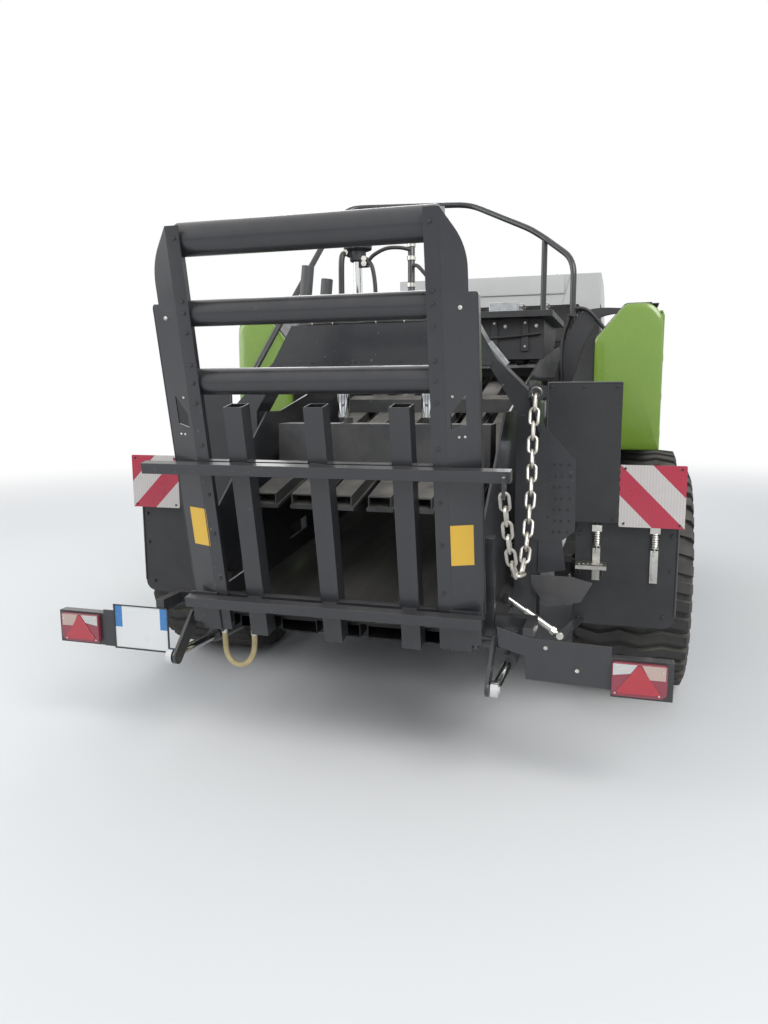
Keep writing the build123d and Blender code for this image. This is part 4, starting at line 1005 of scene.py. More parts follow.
@dataclass
class Tyres(Assembly):
    """Wide tyres with zigzag tread bars, and the nuts of their wheels, in metres."""

    radius: float = 0.5948
    shoulder_radius: float = 0.545
    bars: int = 40
    bar_w: float = 0.052
    bar_h: float = 0.030
    bar_foot: float = 1.15
    zigzag: float = 0.030
    sides: int = 72
    nuts: int = 10
    nut_circle: float = 0.125
    nut_w: float = 30
    disc: float = 0.024
    hub_face: float = 0.094
    hub_cap: tuple[Flat, ...] = ((0, 0.066), (0.008, 0.068), (0.030, 0.060), (0.038, 0.044))
    valve_circle: float = 0.235
    # Half of the carcass: distance from the middle and radius
    carcass: tuple[Flat, ...] = (
        (0.2148, 0.2870), (0.2148, 0.3110), (0.2262, 0.3170), (0.2480, 0.3300), (0.2620, 0.3540),
        (0.2650, 0.3560), (0.2700, 0.3700), (0.2690, 0.3740), (0.2770, 0.4080), (0.2812, 0.4450),
        (0.2795, 0.4900), (0.2760, 0.4960), (0.2735, 0.5180), (0.2660, 0.5400), (0.2500, 0.5560),
        (0.2280, 0.5680), (0.1500, 0.5735), (0.0, 0.5745))

    def build(self) -> None:
        """Make the four tyres and their wheels' fittings."""
        for name in ("rear_left", "rear_right", "front_left", "front_right"):
            low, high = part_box(f"rim_{name}")
            middle = (Vector(low) + Vector(high)) / 2
            side = Side.LEFT if middle.x < 0 else Side.RIGHT
            body = Body(f"wheel_{name}")
            tyre = self.make(self._tyre(middle), f"tread_{name}", Finishes.TYRE, body)
            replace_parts(tyre, f"tyre_{name}")
            self.make(self._fittings(middle, side), f"wheel_nuts_{name}", Finishes.ZINC, body)

    def _tyre(self, middle: Vector) -> Shape:
        """Carcass with sidewall rings and tread bars.

        Args:
            middle: The wheel's middle.

        Returns:
            The tyre's shape.
        """
        half = list(self.carcass)
        profile = half + [(-x, r) for x, r in half[-2::-1]]
        shape = Shape().lathe(middle, ACROSS, profile, self.sides, closed=True)
        crown, edge, shoulder = self.radius, self.radius - 0.012, self.shoulder_radius
        # Stations across the tread: distance from the middle, top radius, share of the zigzag
        stations = ((-0.278, shoulder, 0.0), (-0.262, edge, 0.2), (-0.150, crown, 1.0), (-0.050, crown, 0.0),
                    (0.050, crown, 1.0), (0.150, crown, 0.0), (0.262, edge, 0.8), (0.278, shoulder, 1.0))
        half_top = self.bar_w / 2 / self.radius
        half_low = half_top * self.bar_foot
        for i in range(self.bars):
            rows = []
            for x, top, shift in stations:
                start = math.tau * i / self.bars + shift * self.zigzag / self.radius
                low = top - self.bar_h
                corners = ((low, -half_low), (top, -half_top), (top, half_top), (low, half_low))
                rows.append(shape.ring([self._spot(middle, x, r, start + a) for r, a in corners]))
            for near, far in zip(rows, rows[1:]):
                for k in range(3):
                    shape.mesh.faces.new((near[k], near[k + 1], far[k + 1], far[k]))
            shape.mesh.faces.new(rows[0])
            shape.mesh.faces.new(rows[-1][::-1])
        return shape

    @staticmethod
    def _spot(middle: Vector, x: float, radius: float, angle: float) -> Vector:
        """Point of a wheel from its distance across, radius and angle."""
        return middle + Vector((x, radius * math.cos(angle), radius * math.sin(angle)))

    def _fittings(self, middle: Vector, side: Side) -> Shape:
        """Wheel nuts, hub cap and valve.

        Args:
            middle: The wheel's middle.
            side: The side of the machine that the wheel is on.

        Returns:
            The fittings' shape.
        """
        shape = Shape()
        way = Vector((side.value, 0, 0))
        for i in range(self.nuts):
            turn = math.tau * i / self.nuts
            shape.bolt(self._spot(middle, side.value * self.disc, self.nut_circle, turn), way, self.nut_w)
        shape.lathe(middle + way * self.hub_face, way, self.hub_cap, 24)
        valve = self._spot(middle, side.value * self.disc, self.valve_circle, 0.4)
        return shape.rod(valve, valve + way * 0.05, 5)


@dataclass
class SafetyChain(Assembly):
    """Chain of round links that hangs from the portal's eye to the chute."""

    links: int = 20
    wire: float = 6.5
    width: float = 23.0
    shackle_r: float = 0.020
    shackle_wire: float = 5.5
    route: tuple[Spot, ...] = (
        (788, -3233, 1577), (784, -3256, 1487), (784, -3290, 1359), (788, -3330, 1250), (789, -3385, 1143),
        (789, -3450, 1026), (787, -3525, 939), (778, -3585, 897), (760, -3625, 939), (748, -3665, 1039),
        (741, -3704, 1150), (736, -3733.5, 1232.4))

    def build(self) -> None:
        """Make the links and let them hang between the machine and the chute."""
        route = [at(*spot) for spot in self.route]
        pins = even_line(smooth_line(route), self.links)
        shape = Shape()
        for i, (a, b) in enumerate(zip(pins, pins[1:])):
            run = (b - a).normalized()
            across = run.cross(ACROSS).normalized()
            normal = across if i % 2 else run.cross(across).normalized()
            link = self._link((a + b) / 2, run, run.cross(normal), (b - a).length)
            shape.sweep(link, self.wire, 8, closed=True)
        chain = self.make(shape, "safety_chain", Finishes.CHAIN, None)
        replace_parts(chain, "chain")
        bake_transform(chain)
        eye = route[0] + at(0, 0, 12)
        loop = [eye + Vector((math.cos(a), 0, math.sin(a))) * self.shackle_r
                for a in (math.tau * k / 16 for k in range(16))]
        shackle = Shape().sweep(loop, self.shackle_wire, 8, closed=True)
        self.make(shackle, "chain_shackle", Finishes.CHAIN)

    def _link(self, middle: Vector, run: Vector, side: Vector, pitch: float) -> list[Vector]:
        """Centre line of one link.

        Args:
            middle: The link's middle.
            run: Direction along the chain.
            side: Direction across the link.
            pitch: Distance to the next link, metres.

        Returns:
            The line's points.
        """
        r = (self.width - self.wire) / 1000
        straight = pitch / 2 + self.wire / 1000 - r
        line = []
        for sign in (1, -1):
            for k in range(9):
                angle = math.pi * (k / 8 - 0.5)
                along = sign * (straight + r * math.cos(angle))
                line.append(middle + run * along + side * sign * r * math.sin(angle))
        return line


@dataclass
class LoopHose(Assembly):
    """Hose that hangs in a loop under the floor's rear edge."""

    diameter: float = 0.025
    length: float = 0.415
    # Control points of the hose's curve, metres
    route: tuple[Spot, ...] = (
        (-0.590, -3.37507, 0.52920), (-0.590, -3.3690, 0.4715), (-0.582, -3.380, 0.412),
        (-0.553, -3.384, 0.372), (-0.510, -3.388, 0.358), (-0.468, -3.384, 0.375),
        (-0.444, -3.379, 0.416), (-0.440, -3.3690, 0.4715), (-0.440, -3.37507, 0.52920))
    ferrule: tuple[Flat, ...] = ((0, 0.0165), (0.010, 0.0165), (0.011, 0.0150), (0.030, 0.0150),
                                 (0.032, 0.0132))

    def build(self) -> None:
        """Make the hose on its smooth line, with a ferrule at each gland."""
        route = self.route
        data = bpy.data.curves.new("hanging_hose", "CURVE")
        data.dimensions = "3D"
        line = data.splines.new("NURBS")
        line.points.add(len(route) - 1)
        for spot, point in zip(line.points, route):
            spot.co = (*point, 1)
        line.order_u = 3
        line.use_endpoint_u = True
        data.bevel_depth = self.diameter / 2
        data.bevel_resolution = 6
        data.resolution_u = 10
        hose = bpy.data.objects.new("hanging_hose", data)
        bpy.context.scene.collection.objects.link(hose)
        self.shop.paint(hose, Finishes.HOSE)
        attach(hose, Body.MACHINE.value)
        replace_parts(hose, "hose_loop")
        LOG.info("%s: %d control points", hose.name, len(route))
        ferrules = Shape()
        for start, after in ((route[0], route[1]), (route[-1], route[-2])):
            way = (Vector(after) - Vector(start)).normalized()
            ferrules.lathe(Vector(start) - way * 0.006, way, self.ferrule, 18)
        self.make(ferrules, "hose_ferrules", Finishes.ZINC)


@dataclass
class ChuteFittings(Assembly):
    """Bolts, stickers and roller caps of the bale chute."""

    plane: ChutePlane = ChutePlane()
    strip_x: float = 486
    flange_out: float = 44
    flare: float = math.radians(15.7)
    web_x: float = 509
    web_t: float = 8
    bolt_ups: tuple[float, ...] = (218, 420, 590, 800, 970, 1050, 1120, 1242, 1316, 1360, 1586)
    # Bolts of the wings: distance along the wing, height along the chute, width
    wing_bolts: tuple[Spot, ...] = ((72, 1300, 13), (36, 992, 8), (56, 842, 8), (78, 842, 8))
    # Rollers: height along the chute, distance outwards
    rollers: tuple[Flat, ...] = ((1045, -20), (1310, -18), (1580, -30))
    # Stickers: side, nearest and farthest distance along the wing, lower and upper end
    stickers: tuple[tuple[Side, float, float, float, float], ...] = (
        (Side.RIGHT, 12, 100, 336, 500), (Side.LEFT, 2, 92, 362, 528))
    sticker_proud: float = 0.3
    sticker_t: float = 0.7

    def build(self) -> None:
        """Make the chute's small parts."""
        bolts = Shape()
        bright = Shape()
        out = self.plane.outwards()
        for side in Side:
            for up in self.bolt_ups:
                bolts.bolt(self.plane.point(side.value * self.strip_x, up, self.flange_out), out, 12)
            for along, up, width in self.wing_bolts:
                bright.bolt(self._on_wing(side, along, up, 0.0), out, width)
            for up, depth in self.rollers:
                seat = self.plane.point(side.value * (self.web_x + self.web_t), up, depth)
                bolts.bolt(seat, Vector((side.value, 0, 0)), 30)
        self.make(bolts, "chute_bolts", Finishes.FRAME_MATT, Body.CHUTE)
        self.make(bright, "wing_bolts", Finishes.ZINC, Body.CHUTE)
        self._stickers()

    def _on_wing(self, side: Side, along: float, up: float, proud: float) -> Vector:
        """Point on the flared wing's rear face.

        Args:
            side: The wing's side.
            along: Distance along the wing, millimetres.
            up: Height along the chute, millimetres.
            proud: Distance off the face, millimetres.

        Returns:
            The point in metres.
        """
        x = self.web_x + along * math.cos(self.flare)
        out = self.flange_out - along * math.sin(self.flare) + proud
        return self.plane.point(side.value * x, up, out)

    def _stickers(self) -> None:
        """One plain yellow sticker on each wing."""
        shape = Shape()
        for side, near, far, low, high in self.stickers:
            spots = ((near, low), (far, low), (far, high), (near, high))
            corners = [self._on_wing(side, along, up, self.sticker_proud) for along, up in spots]
            shape.prism(corners, self.plane.outwards() * self.sticker_t / 1000)
        self.make(shape, "plain_stickers", Finishes.STICKER, Body.CHUTE)


@dataclass
class PressHead(Assembly):
    """Centre ram, rods, pipes and hoses over the press portal."""

    centre_x: float = -134
    portal_y: float = -2750
    beam_top: float = 1920
    post_x: float = 135
    rod_x: float = 217
    # Pipes: radius, then points as X, distance from the portal's middle and Z
    pipes: tuple[tuple[float, tuple[Spot, ...]], ...] = (
        (14, ((-196, -64, 1915), (-197, -64, 2100), (-196, -60, 2225), (-190, -36, 2258), (-172, -12, 2262))),
        (9, ((-80, -30, 2205), (-40, -45, 2240), (20, -40, 2268), (80, -25, 2272), (128, -12, 2262),
             (135, -4, 2250))),
        (10, ((-80, -30, 2228), (-50, -40, 2190), (-34, -44, 2110), (-30, -44, 2010), (-24, -40, 1940),
              (-10, -34, 1915))),
        (9, ((149, -10, 2190), (190, -60, 2170), (262, -70, 2080), (296, -66, 1980), (300, -60, 1915))))
    unions: tuple[Flat, ...] = ((-86, 2205), (-86, 2228), (-180, 2262))
    # Open tubes: X in millimetres, radius and length in metres, and how far they lean
    tubes: tuple[tuple[float, float, float, float], ...] = (
        (-432, 0.031, 0.300, 0.11), (-322, 0.029, 0.232, 0.10))
    post_rings: tuple[float, ...] = (2224, 2285, 2100, 1990)
    head_bolts: int = 6
    head_bolt_circle: float = 56
    harness: tuple[Spot, ...] = (
        (-440, -40, 1924), (-350, -66, 1926), (-240, -74, 1928), (-134, -70, 1925), (-20, -74, 1928),
        (120, -70, 1926), (262, -60, 1924), (430, -50, 1925))
    ties: tuple[Flat, ...] = ((-350, -66), (-240, -74), (-20, -74), (120, -70), (262, -60))
    beam_bolts: tuple[float, ...] = (-356, -130, 98, 330)

    def build(self) -> None:
        """Make the ram's surroundings and the portal's small parts."""
        self._pipes()
        self._rods()
        self._ram()
        self._tubes()
        self._collars()
        self._harness()

    def _pipes(self) -> None:
        """Pipes and unions beside the ram, and the rings of its post."""
        y = self.portal_y
        pipes = Shape()
        for radius, spots in self.pipes:
            pipes.hose(spots, radius, y)
        self.make(pipes, "ram_hoses", Finishes.BLACK_HOSE)
        fittings = Shape()
        for x, z in self.unions:
            fittings.lathe(at(x - 12, y - 20, z), Vector((0.35, -1, 0)), [(0, 0.014), (0.028, 0.014)], 6)
        for z in self.post_rings:
            fittings.lathe(at(self.post_x, y, z - 9), UP, [(0, 0.021), (0.018, 0.021)], 18)
        for i in range(self.head_bolts):
            turn = math.tau * i / self.head_bolts
            x = self.centre_x + self.head_bolt_circle * math.cos(turn)
            fittings.bolt(at(x, y + self.head_bolt_circle * math.sin(turn), 2300), UP, 15)
        self.make(fittings, "ram_fittings", Finishes.ZINC)

    def _rods(self) -> None:
        """Two bright rods with their clevises."""
        y = self.portal_y
        rods = Shape()
        clevises = Shape()
        profile = [(0, 0.0290), (0.003, 0.0305), (0.279, 0.0305), (0.281, 0.0290)]
        for x in (-self.rod_x, self.rod_x):
            rods.lathe(at(x, y, 1469), UP, profile, 40)
            clevises.box((x - 14, x + 14), (y - 30, y + 30), (1450, 1470))
            clevises.rod(at(x - 19, y, 1457), at(x - 13, y, 1457), 14)
        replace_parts(self.make(rods, "chrome_press_rods", Finishes.CHROME, Body.RODS), "press_rods")
        self.make(clevises, "rod_clevises", Finishes.FRAME, Body.RODS, bevel=2)

    def _ram(self) -> None:
        """Bright centre ram with its head."""
        x, y = self.centre_x, self.portal_y
        column = Shape().lathe(at(x, y, self.beam_top), UP, [(0, 0.0215), (0.310, 0.0215)], 32)
        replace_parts(self.make(column, "chrome_ram", Finishes.CHROME), "centre_ram")
        profile = [(0, 0.034), (0.004, 0.039), (0.048, 0.040), (0.054, 0.062), (0.058, 0.068), (0.076, 0.069),
                   (0.080, 0.064), (0.083, 0.044), (0.090, 0.042), (0.092, 0.036)]
        head = Shape().lathe(at(x, y, 2220), UP, profile, 40)
        head.box((x + 18, x + 54), (y - 32, y + 18), (2194, 2238))
        head.box((x - 50, x - 20), (y - 30, y + 14), (2244, 2276))
        self.make(head, "ram_head", Finishes.FRAME_MATT, bevel=1.5)

    def _tubes(self) -> None:
        """Two open tubes that lean on the portal's beam."""
        tubes = Shape()
        for x, r, length, lean in self.tubes:
            bore = r - 0.005
            wall = [(0, bore), (0, r), (length, r), (length + 0.002, r - 0.002), (length, bore)]
            tubes.lathe(at(x, self.portal_y + 10, 1916), Vector((lean, 0, 1)), wall, 28, closed=True)
        self.make(tubes, "open_tubes", Finishes.CASTING)

    def _collars(self) -> None:
        """Collars of the rods and the ram, and the portal's bolts."""
        y = self.portal_y
        upper = [(0, 0.036), (0, 0.056), (0.006, 0.058), (0.010, 0.054), (0.010, 0.036)]
        lower = [(0, 0.054), (0, 0.068), (0.010, 0.068), (0.014, 0.060), (0.014, 0.054)]
        collars = Shape()
        for x in (-self.rod_x, self.rod_x):
            collars.lathe(at(x, y, 2008), UP, upper, 32, closed=True)
            collars.lathe(at(x, y, self.beam_top), UP, lower, 32, closed=True)
        collars.lathe(at(self.centre_x, y, self.beam_top), UP, [(0, 0.048), (0.026, 0.048), (0.03, 0.03)], 6)
        for x in self.beam_bolts:
            collars.bolt(at(x, y - 94, 1730), UP, 14)
        self.make(collars, "portal_bolts", Finishes.FRAME_MATT)

    def _harness(self) -> None:
        """Cable harness along the beam, with its ties."""
        self.make(Shape().hose(self.harness, 6, self.portal_y), "portal_harness", Finishes.BLACK_HOSE)
        ties = Shape()
        for x, dy in self.ties:
            ties.lathe(at(x - 3, self.portal_y + dy, 1926.5), ACROSS, [(0, 0.0085), (0.006, 0.0085)], 12)
        self.make(ties, "harness_ties", Finishes.ZINC)


@dataclass
class PortalPlates(Assembly):
    """Bracket plates, damper and hose bundle beside the press portal."""

    rear_y: float = -2830
    damper_y: float = -3000
    frame_y: float = -1290
    bundle_y: float = -1250
    # Curved leaf between the deck and the right side body, as X and Z
    leaf: tuple[Flat, ...] = (
        (963, 2108), (842, 2087), (754, 1916), (703, 1695), (640, 1560), (760, 1560), (811, 1662),
        (873, 1882), (941, 2040), (1010, 2062), (1110, 2075), (1095, 2100))
    # Points of the hoses: X, distance along Y from the bundle's middle, and Z
    bundle: tuple[Spot, ...] = (
        (1010, 0, 1960), (900, -2, 2085), (814, 0, 2096), (764, 0, 2000), (742, 0, 1898), (738, -2, 1760),
        (740, 0, 1650), (690, 0, 1570), (608, 0, 1540))
    rivet_rows: int = 7
    rivet_pitch: float = 52

    def build(self) -> None:
        """Make the bar, the plates with their rivets, the damper and the hoses."""
        y = self.rear_y
        bar = Shape().plate_xz([(520, 1812), (538, 1826), (622, 1724), (604, 1710)], y - 8, y)
        self.make(bar, "portal_bar", Finishes.GALVANISED, bevel=1)
        leaves = Shape()
        leaves.plate_xz([(772, 746), (900, 769), (880, 915), (772, 925)], y - 10, y - 4)
        tray = [at(742, y - 20, 700), at(815, y - 60, 603), at(975, y - 60, 631), at(1025, y - 30, 716),
                at(935, y - 14, 735), at(742, y - 14, 735)]
        leaves.prism(tray, at(0, 5, 5))
        outline = [at(x, self.frame_y, z) for x, z in self.leaf]
        leaves.prism(bent_line(outline, 0.09, closed=True), at(0, 50, 0))
        self.make(leaves, "guard_leaves", Finishes.FRAME, bevel=1.5)
        self._dampers()
        rivets = Shape()
        for row in range(self.rivet_rows):
            for x in (842, 868, 905):
                rivets.bolt(at(x + 6 * (row % 2), y - 12, 950 + self.rivet_pitch * row), REARWARDS, 9)
        self.make(rivets, "bracket_rivets", Finishes.DARK_SHEET)
        self._bundle()

    def _dampers(self) -> None:
        """Damper of the right lamp arm, with its strap."""
        bright = Shape()
        low, high = at(650, self.damper_y, 665), at(895, self.damper_y, 505)
        bright.rod(low, high, 9)
        bright.rod(low.lerp(high, 0.35), low.lerp(high, 0.86), 15)
        bright.lathe(low.lerp(high, 0.84), high - low, [(0, 0.021), (0.02, 0.021)], 6)
        bright.rod(high + at(0, -22, 0), high + at(0, 22, 0), 17)
        self.make(bright, "damper_rods", Finishes.ZINC)
        strap = Shape()
        corners = [at(872, -3016, 494), at(918, -3016, 494), at(990, -2786, 520), at(944, -2786, 520)]
        strap.prism(corners, at(0, 0, 8))
        strap.box((640, 664), (self.damper_y - 30, self.damper_y + 30), (640, 690))
        self.make(strap, "damper_strap", Finishes.FRAME, bevel=1)

    def _bundle(self) -> None:
        """Two hoses down the frame, with their clips."""
        bundle = Shape()
        for shift in (-64, 24):
            bundle.hose(self.bundle, 11, self.bundle_y + shift)
        self.make(bundle, "hose_bundle", Finishes.BLACK_HOSE)
        clips = Shape()
        for z, x in ((1898, 742), (1700, 739)):
            clips.box((x - 16, x + 16), (self.bundle_y - 40, self.bundle_y + 40), (z - 12, z + 12))
        self.make(clips, "hose_clips", Finishes.DARK_SHEET, bevel=2)


@dataclass
class RearGuards(Assembly):
    """Latches, step, rims and screws of the guards and boards behind the wheels."""

    rear_y: float = -2830
    flap_y: float = -2780
    latch_xs: tuple[float, ...] = (1035, 1290)
    spring_turns: int = 9
    spring_pitch: float = 8
    spring_wire: float = 2.6
    step_x: Flat = (945, 1083)
    step_z: float = 803
    step_depth: float = 92
    # Screws of the boards, the guards and the flaps: X and Z on the right side
    board_screws: tuple[Flat, ...] = ((1150, 1000), (1390, 1000), (1150, 1250), (1390, 1250))
    panel_screws: tuple[Flat, ...] = ((815, 1615), (1105, 1615), (815, 1020), (1105, 1020), (960, 1615))
    flap_screws: tuple[Flat, ...] = ((960, 530), (1340, 560), (1365, 780), (1365, 940), (960, 940))

    def build(self) -> None:
        """Make the guards' fittings."""
        latches = Shape()
        for x in self.latch_xs:
            self._latch(latches, x)
        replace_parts(self.make(latches, "toggle_latches", Finishes.ZINC), "spring_latches")
        self._step()
        screws = Shape()
        rows = ((self.board_screws, self.rear_y - 3, 9), (self.panel_screws, self.rear_y - 6, 13),
                (self.flap_screws, self.flap_y, 15))
        for side in Side:
            for spots, y, width in rows:
                for x, z in spots:
                    screws.bolt(at(side.value * x, y, z), REARWARDS, width)
        self.make(screws, "guard_screws", Finishes.DARK_SHEET)
        self._rims()

    def _step(self) -> None:
        """Folding step on the right flap."""
        y, z = self.flap_y, self.step_z
        outer = y - self.step_depth
        step = Shape()
        step.box(self.step_x, (outer, y), (z, z + 5))
        step.box(self.step_x, (outer, outer + 4), (z - 17, z + 5))
        for x in (960, 1064):
            step.plate_yz([(y, z), (y - 80, z), (y, z - 63)], x, x + 4)
        for i in range(6):
            step.box((957 + 20 * i, 965 + 20 * i), (y - 78, y - 16), (z + 5, z + 8))
        self.make(step, "rear_step", Finishes.ZINC, bevel=1)

    def _rims(self) -> None:
        """Folded rims of the guards and flaps."""
        rims = Shape()
        y = self.rear_y - 4
        for side in Side:
            s = side.value
            rims.sweep([at(s * 798, y, 1004), at(s * 798, y, 1631)], 5, 8)
            rims.sweep([at(s * 798, y, 1631), at(s * 1122, y, 1631)], 5, 8)
            rims.sweep([at(s * 1390, self.flap_y, 1046), at(s * 1390, self.flap_y, 566)], 5, 8)
        self.make(rims, "guard_rims", Finishes.FRAME)

    def _latch(self, shape: Shape, x: float) -> None:
        """Spring, eye and strap of one toggle latch.

        Args:
            shape: Gets the latch.
            x: The latch's place across the machine, millimetres.
        """
        y = self.flap_y
        angles = [math.tau * k / 12 for k in range(12 * self.spring_turns + 1)]
        coil = [at(x + 15 * math.cos(a), y - 17 + 9 * math.sin(a), 880 + self.spring_pitch * a / math.tau)
                for a in angles]
        shape.sweep(coil, self.spring_wire, 6)
        shape.rod(at(x, y - 14, 845), at(x, y - 14, 985), 4)
        shape.box((x - 22, x + 22), (y - 22, y), (952, 982))
        shape.box((x - 17, x + 17), (y - 12, y), (720, 872))
        shape.box((x - 9, x + 9), (y - 20, y - 10), (740, 850))
        for z in (734, 858):
            shape.bolt(at(x, y - 12, z), REARWARDS, 13)


@dataclass
class TailLamps(Assembly):
    """Lens panels, triangle reflectors and plate frame at the rear."""

    inner: float = 1127
    outer: float = 1325
    low: float = 465
    high: float = 595
    seat_y: float = -3550
    depth: float = 20
    # Outlines as shares of the lamp's width and height
    clear: tuple[Flat, ...] = ((0.02, 0.62), (0.34, 0.70), (0.46, 0.97), (0.02, 0.97))
    amber: tuple[Flat, ...] = ((0.68, 0.56), (0.97, 0.56), (0.97, 0.97), (0.54, 0.97))
    triangle: tuple[Flat, ...] = ((0.14, 0.10), (0.84, 0.10), (0.88, 0.16), (0.52, 0.93), (0.46, 0.93),
                                  (0.10, 0.16))
    screws: tuple[Flat, ...] = ((0.09, 0.88), (0.93, 0.80), (0.07, 0.10), (0.86, 0.10))
    # The plate's frame: outer X and Z, and widths of its bars
    frame_x: Flat = (-1052, -769)
    frame_z: Flat = (446, 652)
    frame_bar: float = 7
    cable: tuple[Spot, ...] = (
        (1140, -3500, 560), (1060, -3512, 590), (960, -3530, 600), (860, -3535, 600), (812, -3530, 632),
        (808, -3460, 634), (812, -3400, 634))

    def build(self) -> None:
        """Make both lamps."""
        face = self.seat_y - self.depth
        body, clear, amber, red = Shape(), Shape(), Shape(), Shape()
        for side in Side:
            body.plate_xz(self._spots(side, self._outline()), self.seat_y, face)
            clear.plate_xz(self._spots(side, self.clear), face, face - 1.5)
            amber.plate_xz(self._spots(side, self.amber), face, face - 1.5)
            red.plate_xz(self._spots(side, self.triangle), face, face - 4)
        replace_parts(self.make(body, "lamp_bodies", Finishes.LENS_DEEP, bevel=3), "tail_lamps")
        self.make(clear, "clear_lenses", Finishes.LENS_CLEAR, bevel=0.6)
        self.make(amber, "amber_lenses", Finishes.LENS_AMBER, bevel=0.6)
        self.make(red, "triangle_reflectors", Finishes.LENS_RED, bevel=1.2)
        self._fixings()

    def _spots(self, side: Side, outline: Outline) -> list[Flat]:
        """X and Z from shares of the lamp's width and height.

        Args:
            side: The lamp's side.
            outline: The shares.

        Returns:
            The points in millimetres.
        """
        width, height = self.outer - self.inner, self.high - self.low
        return [(side.value * (self.inner + a * width), self.low + u * height) for a, u in outline]

    @staticmethod
    def _outline() -> list[Flat]:
        """Outline of the lamp's body, with its lower outer corner cut round."""
        arc = [(0.86 + 0.14 * math.sin(t), 0.20 - 0.20 * math.cos(t))
               for t in (math.pi / 2 * k / 5 for k in range(6))]
        return [(0.0, 0.05), (0.04, 0.0)] + arc + [(1.0, 0.96), (0.97, 1.0), (0.03, 1.0), (0.0, 0.96)]

    def _fixings(self) -> None:
        """Screws, plate frame and cables of the lamp carriers."""
        shape = Shape()
        for side in Side:
            for x, z in self._spots(side, self.screws):
                shape.bolt(at(x, self.seat_y - self.depth - 1, z), REARWARDS, 6)
        for x, z in ((1000, 540), (880, 620)):
            shape.bolt(at(x, self.seat_y, z), REARWARDS, 13)
        self.make(shape, "lamp_screws", Finishes.ZINC)
        (x0, x1), (z0, z1), bar = self.frame_x, self.frame_z, self.frame_bar
        depth = (self.seat_y - 6, self.seat_y)
        edge = Shape()
        edge.box(self.frame_x, depth, (z0, z0 + bar))
        edge.box(self.frame_x, depth, (z1 - 5, z1))
        edge.box((x0, x0 + bar), depth, self.frame_z)
        edge.box((x1 - bar, x1), depth, self.frame_z)
        self.make(edge, "plate_frame", Finishes.DARK_SHEET, bevel=1)
        cables = Shape()
        for side in Side:
            cables.hose([(side.value * x, y, z) for x, y, z in self.cable], 6)
        self.make(cables, "lamp_cables", Finishes.BLACK_HOSE)


